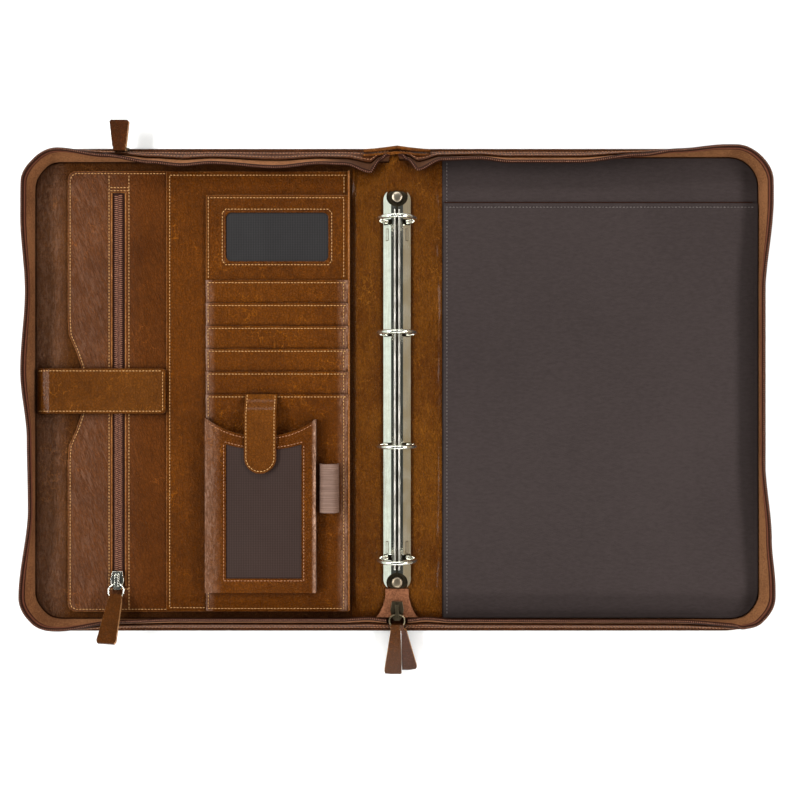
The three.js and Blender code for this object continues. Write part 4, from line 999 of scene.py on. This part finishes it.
tab_middle, tab_half, tab_thick = -96.5, 11.4, 2.2
tab_root, tab_foot, tab_level = -3.3, 14.1, 19.9
tab_rows = []
for share in (k / 16 for k in range(17)):
    rise = share * share * (3 - 2 * share)
    tab_rows.append((tab_root - 14.924 * share, tab_half, tab_foot + (tab_level - tab_foot) * rise))
for share in (0.985 * k / 14 for k in range(15)):
    half = max(tab_half * math.sqrt(1 - share * share), 3.0)
    tab_rows.append((-59.3 + tab_half * (1 - share), half, tab_level))
tab = swept([
    [
        Vector((x, y, z))
        for x, z in flat_strap(tab_middle - half, tab_middle + half, level, tab_thick)
    ]
    for y, half, level in tab_rows
])
piece("closing_tab", tab, tab_hide, ["phone_tab"], smooth=60)
tab_seam_half = 9.9
down = [(tab_middle - tab_seam_half, y, level + 2.15) for y, half, level in tab_rows[:17]]
tip = [
    (tab_middle - tab_seam_half * math.cos(a), -47.9 - tab_seam_half * math.sin(a), 22.1)
    for a in (math.pi * k / 18 for k in range(19))
]
up = [(tab_middle + tab_seam_half, y, level + 2.15) for y, half, level in reversed(tab_rows[:17])]
thread("tab_thread", [down + tip + up], tan_thread, seed=8)

# Pen loop: a band of finely ribbed elastic, stood up in an arch over a hollow for the pen and sewn
# down beside the phone pocket.
elastic = Finish("elastic")
ribs = elastic.clouds(1900, 1, 0.5, 0.0, elastic.stretched(0.02, 1, 0.02))
elastic_tone = elastic.tinted(
    elastic.between(ribs, 0.35, 0.65), shade(106, 80, 68), shade(134, 106, 92)
)
elastic_look = elastic.done(
    base_color=elastic_tone, roughness=0.5, normal=elastic.relief(ribs, 0.0002),
    specular_ior_level=0.3,
)
loop_middle, loop_foot, loop_long = -48.3, -87.3, 34.6


def arch(y, half, base, high):
    """The arch over the pen, from right to left, squarer than a half circle."""
    found = []
    for angle in (math.pi * k / 24 for k in range(25)):
        x = loop_middle + half * math.copysign(abs(math.cos(angle)) ** 0.7, math.cos(angle))
        found.append(Vector((x, y, base + high * math.sin(angle) ** 0.75)))
    return found


loop_rings = []
for k in range(141):
    y = loop_foot + loop_long * k / 140
    rib = 0.12 * math.cos(math.pi * k / 2)
    loop_rings.append(arch(y, 6.9 + rib, 12.6, 8.8 + rib) + arch(y, 5.7, 12.75, 7.4)[::-1])
piece("elastic_loop", swept(loop_rings), elastic_look, ["pen_loop"], smooth=50)
thread(
    "loop_thread", [[(-43.2, -86, 18.3), (-43.2, -54, 18.3)]], coil_shadow,
    pitch=1.7, gauge=0.7, length=1.1,
)

# Strap: a lined double thickness of hide that holds loose papers. It comes up from the foot of the
# gusset, bows over the pocket's edge and is stitched along both edges.
strap_hide = hide("strap_hide", shade(106, 57, 8), shade(74, 34, 2), gloss=0.3, crinkle=0.8)
BENDS = (
    (0, 0, 0), (0.02, 0.6, 0), (0.05, 1, 0.4), (0.12, 1, 1), (0.25, 1, 0.7), (0.45, 1, 0.1),
    (0.6, 1, 0), (1, 1, 0),
)
strap_left, strap_long, strap_middle, strap_thick = -258.6, 93, -1, 2.4
strap_foot, strap_level, strap_bow = 6.6, 9.8, 1.5
strap_rows = []
for k in range(49):
    along = (k / 48) ** 1.3
    level = strap_foot + (strap_level - strap_foot) * eased(BENDS, along, 1)
    level += strap_bow * eased(BENDS, along, 2)
    strap_rows.append((strap_left + strap_long * along, 16.2 if along < 0.985 else 15.4, level))
strap = swept([
    [
        Vector((x, y, z))
        for y, z in flat_strap(strap_middle - half, strap_middle + half, level, strap_thick)
    ]
    for x, half, level in strap_rows
])
piece("strap_hide", strap, strap_hide, ["strap"], smooth=60)
strap_lines = [
    [(x, strap_middle + across, level + strap_thick) for x, half, level in strap_rows[2:-1]]
    for across in (-14.4, 14.4)
]
strap_lines.append([(-167.6, -15.2, 12.2), (-167.6, 13.2, 12.2)])
thread("strap_thread", strap_lines, tan_thread, seed=9)

# Writing-pad pocket: one wide panel of the twill, folded over at its mouth, where the pad goes in,
# and sewn down at the spine. A thin dark cord along the mouth is a painted shadow.
dressed("pad_panel", "pad_pocket", [twill_cloth, twill_cloth], 0.4, (2.4, 1.0, 0.3))
# Painted shadow: a dark cord laid on the lining just above the pocket's mouth.
mouth_shadow = rod((34, 135, 6.75), (256, 135, 6.75), 0.42, sides=8)
piece("pad_mouth_shadow", mouth_shadow, coil_shadow, smooth=80)
thread(
    "pad_thread",
    [
        [(34.5, 131.4, 7.9), (257.5, 131.4, 7.9)],
        [(35.9, 131, 7.9), (35.9, -162.5, 7.9)],
        [(35.9, 164, 6.4), (35.9, 135, 6.4)],
    ],
    grey_thread, pitch=2.5, gauge=0.4, seed=10,
)


# Ring binder: a housing pressed from nickel-plated spring steel, open along the middle for the
# blades of the rings and held down by a dull rivet at each end.
def plated(name, bright, dull, gloss):
    """Polished plate with a faint haze along it, and painted shade in its hollows and under edges.
    """
    metal = Finish(name)
    haze = metal.clouds(70, 4, 0.6)
    fine = metal.clouds(900, 2, 0.5, 0.0, metal.stretched(1, 0.08, 1))
    tarnish = metal.between(haze + (fine - 0.5) * 0.4, 0.35, 0.7)
    colour = metal.tinted(tarnish, dull, bright)
    # Painted shade: darker in hollows and under edges.
    shade_in_hollows = metal.between(metal.painted_shade_mask(0.005), 0.1, 0.75)
    colour = metal.tinted(shade_in_hollows * 0.85, colour, shade(46, 38, 30))
    return metal.done(
        base_color=colour, metallic=1.0, roughness=gloss + (1 - tarnish) * 0.08,
        normal=metal.relief(fine, 0.00001),
    )


nickel = plated("nickel", shade(240, 240, 230), shade(222, 220, 208), 0.16)
lip_steel = plated("lip_steel", shade(196, 192, 184), shade(140, 136, 128), 0.3)
old_nickel = plated("old_nickel", shade(138, 124, 100), shade(88, 78, 60), 0.3)
rivet_metal = plated("rivet_metal", shade(176, 164, 146), shade(140, 126, 106), 0.34)
housing = cut_like("ring_housing")
roll_edges(housing, 0.22, 2, 20)
rivet_y, recess = 138.5, 7.8
for face in housing.faces:
    middle = face.calc_center_median()
    sunk = abs(middle.y) > 131 and math.hypot(middle.x, abs(middle.y) - rivet_y) < recess
    face.material_index = 1 if sunk else 0
piece("housing", housing, [nickel, old_nickel], ["ring_housing"], smooth=5)
for name, x in (("left", -1.55), ("right", 1.55)):
    lip = rod((x, -129, 12.45), (x, 129, 12.45), 0.75, sides=12)
    piece(f"slit_lip_{name}", lip, lip_steel, smooth=60)
facet_lean = math.atan2(3.8, 5.5)
for hand, side in (("left", -1), ("right", 1)):
    for spot, y in (("top", 111), ("bottom", -113)):
        for part, wide, long, lift, look in (
            ("edge", 2.1, 8.8, 0.06, old_nickel), ("key", 1.2, 7.9, 0.12, nickel),
        ):
            plate = bmesh.new()
            bmesh.ops.create_cube(plate, size=1)
            bmesh.ops.scale(plate, vec=(wide, long, 0.2), verts=plate.verts)
            lean = Matrix.Rotation(side * facet_lean, 4, "Y")
            on_facet = Matrix.Translation((side * 7.1, y, 10.67 + lift)) @ lean
            bmesh.ops.transform(plate, matrix=on_facet, verts=plate.verts)
            piece(f"pressed_{part}_{spot}_{hand}", plate, look, smooth=5)
RIVET_PROFILE = ((0, 10.5), (2.2, 10.42), (3.4, 10.1), (4.0, 9.5), (4.1, 8.9), (4.1, 8.1), (0, 8.1))
for name, y in (("top", rivet_y), ("bottom", -rivet_y)):
    head = bmesh.new()
    line = [head.verts.new((x, 0, z)) for x, z in RIVET_PROFILE]
    edges = [head.edges.new(pair) for pair in zip(line, line[1:])]
    bmesh.ops.spin(
        head, geom=line + edges, cent=(0, 0, 0), axis=(0, 0, 1), angle=2 * math.pi, steps=40,
        use_merge=True,
    )
    bmesh.ops.remove_doubles(head, verts=head.verts, dist=0.001)
    bmesh.ops.translate(head, vec=(0, y, 0), verts=head.verts)
    piece(f"rivet_head_{name}", head, rivet_metal, [f"rivet_{name}"], smooth=50)

# Half rings: round nickel-plated wire, each riveted to the blade of its row at its foot. The two
# rows meet over the middle and swing apart together.
ring_radius, wire_radius, ring_level, ring_foot_x, ring_foot = 13, 1.5, 22.2, 6.6, 8.3
bent = math.pi / 2 + math.acos(ring_foot_x / ring_radius)
for name, side in (("left", -1), ("right", 1)):
    dressed(
        f"blade_{name}", f"ring_blade_{name}", [old_nickel, old_nickel], 0.2,
        body=f"{name}_rings", segments=2,
    )
    for n, y in enumerate((120, 40, -40, -120)):
        arc = []
        for k in range(37):
            angle = math.pi / 2 - bent * k / 36
            x = ring_radius * math.cos(angle) + (0.15 if k == 0 else 0)
            arc.append(Vector((side * x, y, ring_level + ring_radius * math.sin(angle))))
        arc.append(Vector((side * ring_foot_x, y, ring_foot)))
        wire = tube(arc, wire_radius, 20)
        node = f"half_ring_{name}_{n + 1}"
        piece(f"ring_{name}_{n + 1}", wire, nickel, [node], f"{name}_rings", 60)

# Closed end of the zip: a folded tab of ribbed cloth, sewn down under the binder's end, with the
# zip's slider parked on it.
end_tab = cut_like("zip_end_tab")
roll_edges(end_tab, 0.35)
tab_cloth = woven("tab_cloth", shade(138, 88, 60), shade(98, 58, 36))
piece("end_tab", end_tab, [tab_cloth, tab_cloth], ["zip_end_tab"], smooth=50)

# Sliders and their wire rings: cast metal bodies, the pocket's bright and the others dulled, and
# bent wire that joins a slider's bridge to its pull.
for node, look, slot in (
    ("main_slider", old_nickel, "old_nickel"), ("pocket_slider", nickel, "nickel"),
    ("outer_slider", old_nickel, "old_nickel"),
):
    dressed(node + "_cast", node, [look, look], 0.45)


LOOP_CORNERS = (
    (-0.5, 0), (0.5, 0), (1, 0.28), (1, 0.72), (0.6, 1), (-0.6, 1), (-1, 0.72), (-1, 0.28),
)


def wire_loop(middle_x, start, end, half=5.45, gauge=0.65):
    """A bent wire ring between two bars, in the plane through both; its corners are eased round."""
    here = Vector((middle_x, *start))
    ahead = Vector((0, end[0] - start[0], end[1] - start[1]))
    outline = []
    for near, far in zip(LOOP_CORNERS, LOOP_CORNERS[1:] + LOOP_CORNERS[:1]):
        for share in (0, 0.25, 0.5, 0.75):
            across, along = (a + (b - a) * share for a, b in zip(near, far))
            outline.append(here + Vector((half * across, 0, 0)) + ahead * along)
    for _ in range(3):
        befores, afters = outline[-1:] + outline, outline[1:] + outline[:1]
        outline = [
            before * 0.25 + point * 0.5 + after * 0.25
            for before, point, after in zip(befores, outline, afters)
        ]
    return tube(outline + outline[:2], gauge, 12)


main_ring = wire_loop(0, (-160.28, 14.5), (-169.28, 12.25))
piece("main_ring", main_ring, old_nickel, ["main_wire_ring"])
pocket_ring = wire_loop(pocket_zip_x, (-138.88, 13.1), (-147.88, 14.9))
piece("pocket_ring", pocket_ring, nickel, ["pocket_wire_ring"])

# Pulls: two thicknesses of hide, glued back to back round the wire ring and cut to a taper, with
# their cut edges left pale and waxed.
pull_hide = hide("pull_hide", shade(84, 40, 2), shade(58, 24, 0), gloss=0.45, crinkle=0.5)
pull_dark = hide("pull_dark", shade(74, 28, 0), shade(50, 17, 0), gloss=0.45, crinkle=0.5)
cut_edge = hide("cut_edge", shade(206, 158, 108), shade(160, 104, 58), gloss=0.5, crinkle=0.4)
for node, look in (
    ("main_pull_left", pull_hide), ("main_pull_right", pull_dark), ("pocket_pull", pull_hide),
    ("outer_pull", pull_dark),
):
    pull = cut_like(node)
    roll_edges(pull, 0.5)
    for face in pull.faces:
        face.material_index = 1 if abs(face.normal.x) > 0.6 else 0
    piece(node + "_hide", pull, [look, cut_edge], [node])

# The table: one broad white sheet that the case lies on. It is the studio's and not a part of the
# case.
paper = Finish("paper")
table = bmesh.new()
bmesh.ops.create_grid(table, x_segments=1, y_segments=1, size=3)
bmesh.ops.translate(table, vec=(0, 0, -0.0004), verts=table.verts)
table_mesh = bpy.data.meshes.new("table")
table.to_mesh(table_mesh)
table.free()
tabletop = bpy.data.objects.new("table", table_mesh)
bpy.context.scene.collection.objects.link(tabletop)
tabletop.data.materials.append(paper.done(
    base_color=shade(246, 246, 246), roughness=0.9, emission_color=(1.0, 1.0, 1.0),
    emission_strength=0.12, specular_ior_level=0.1,
))
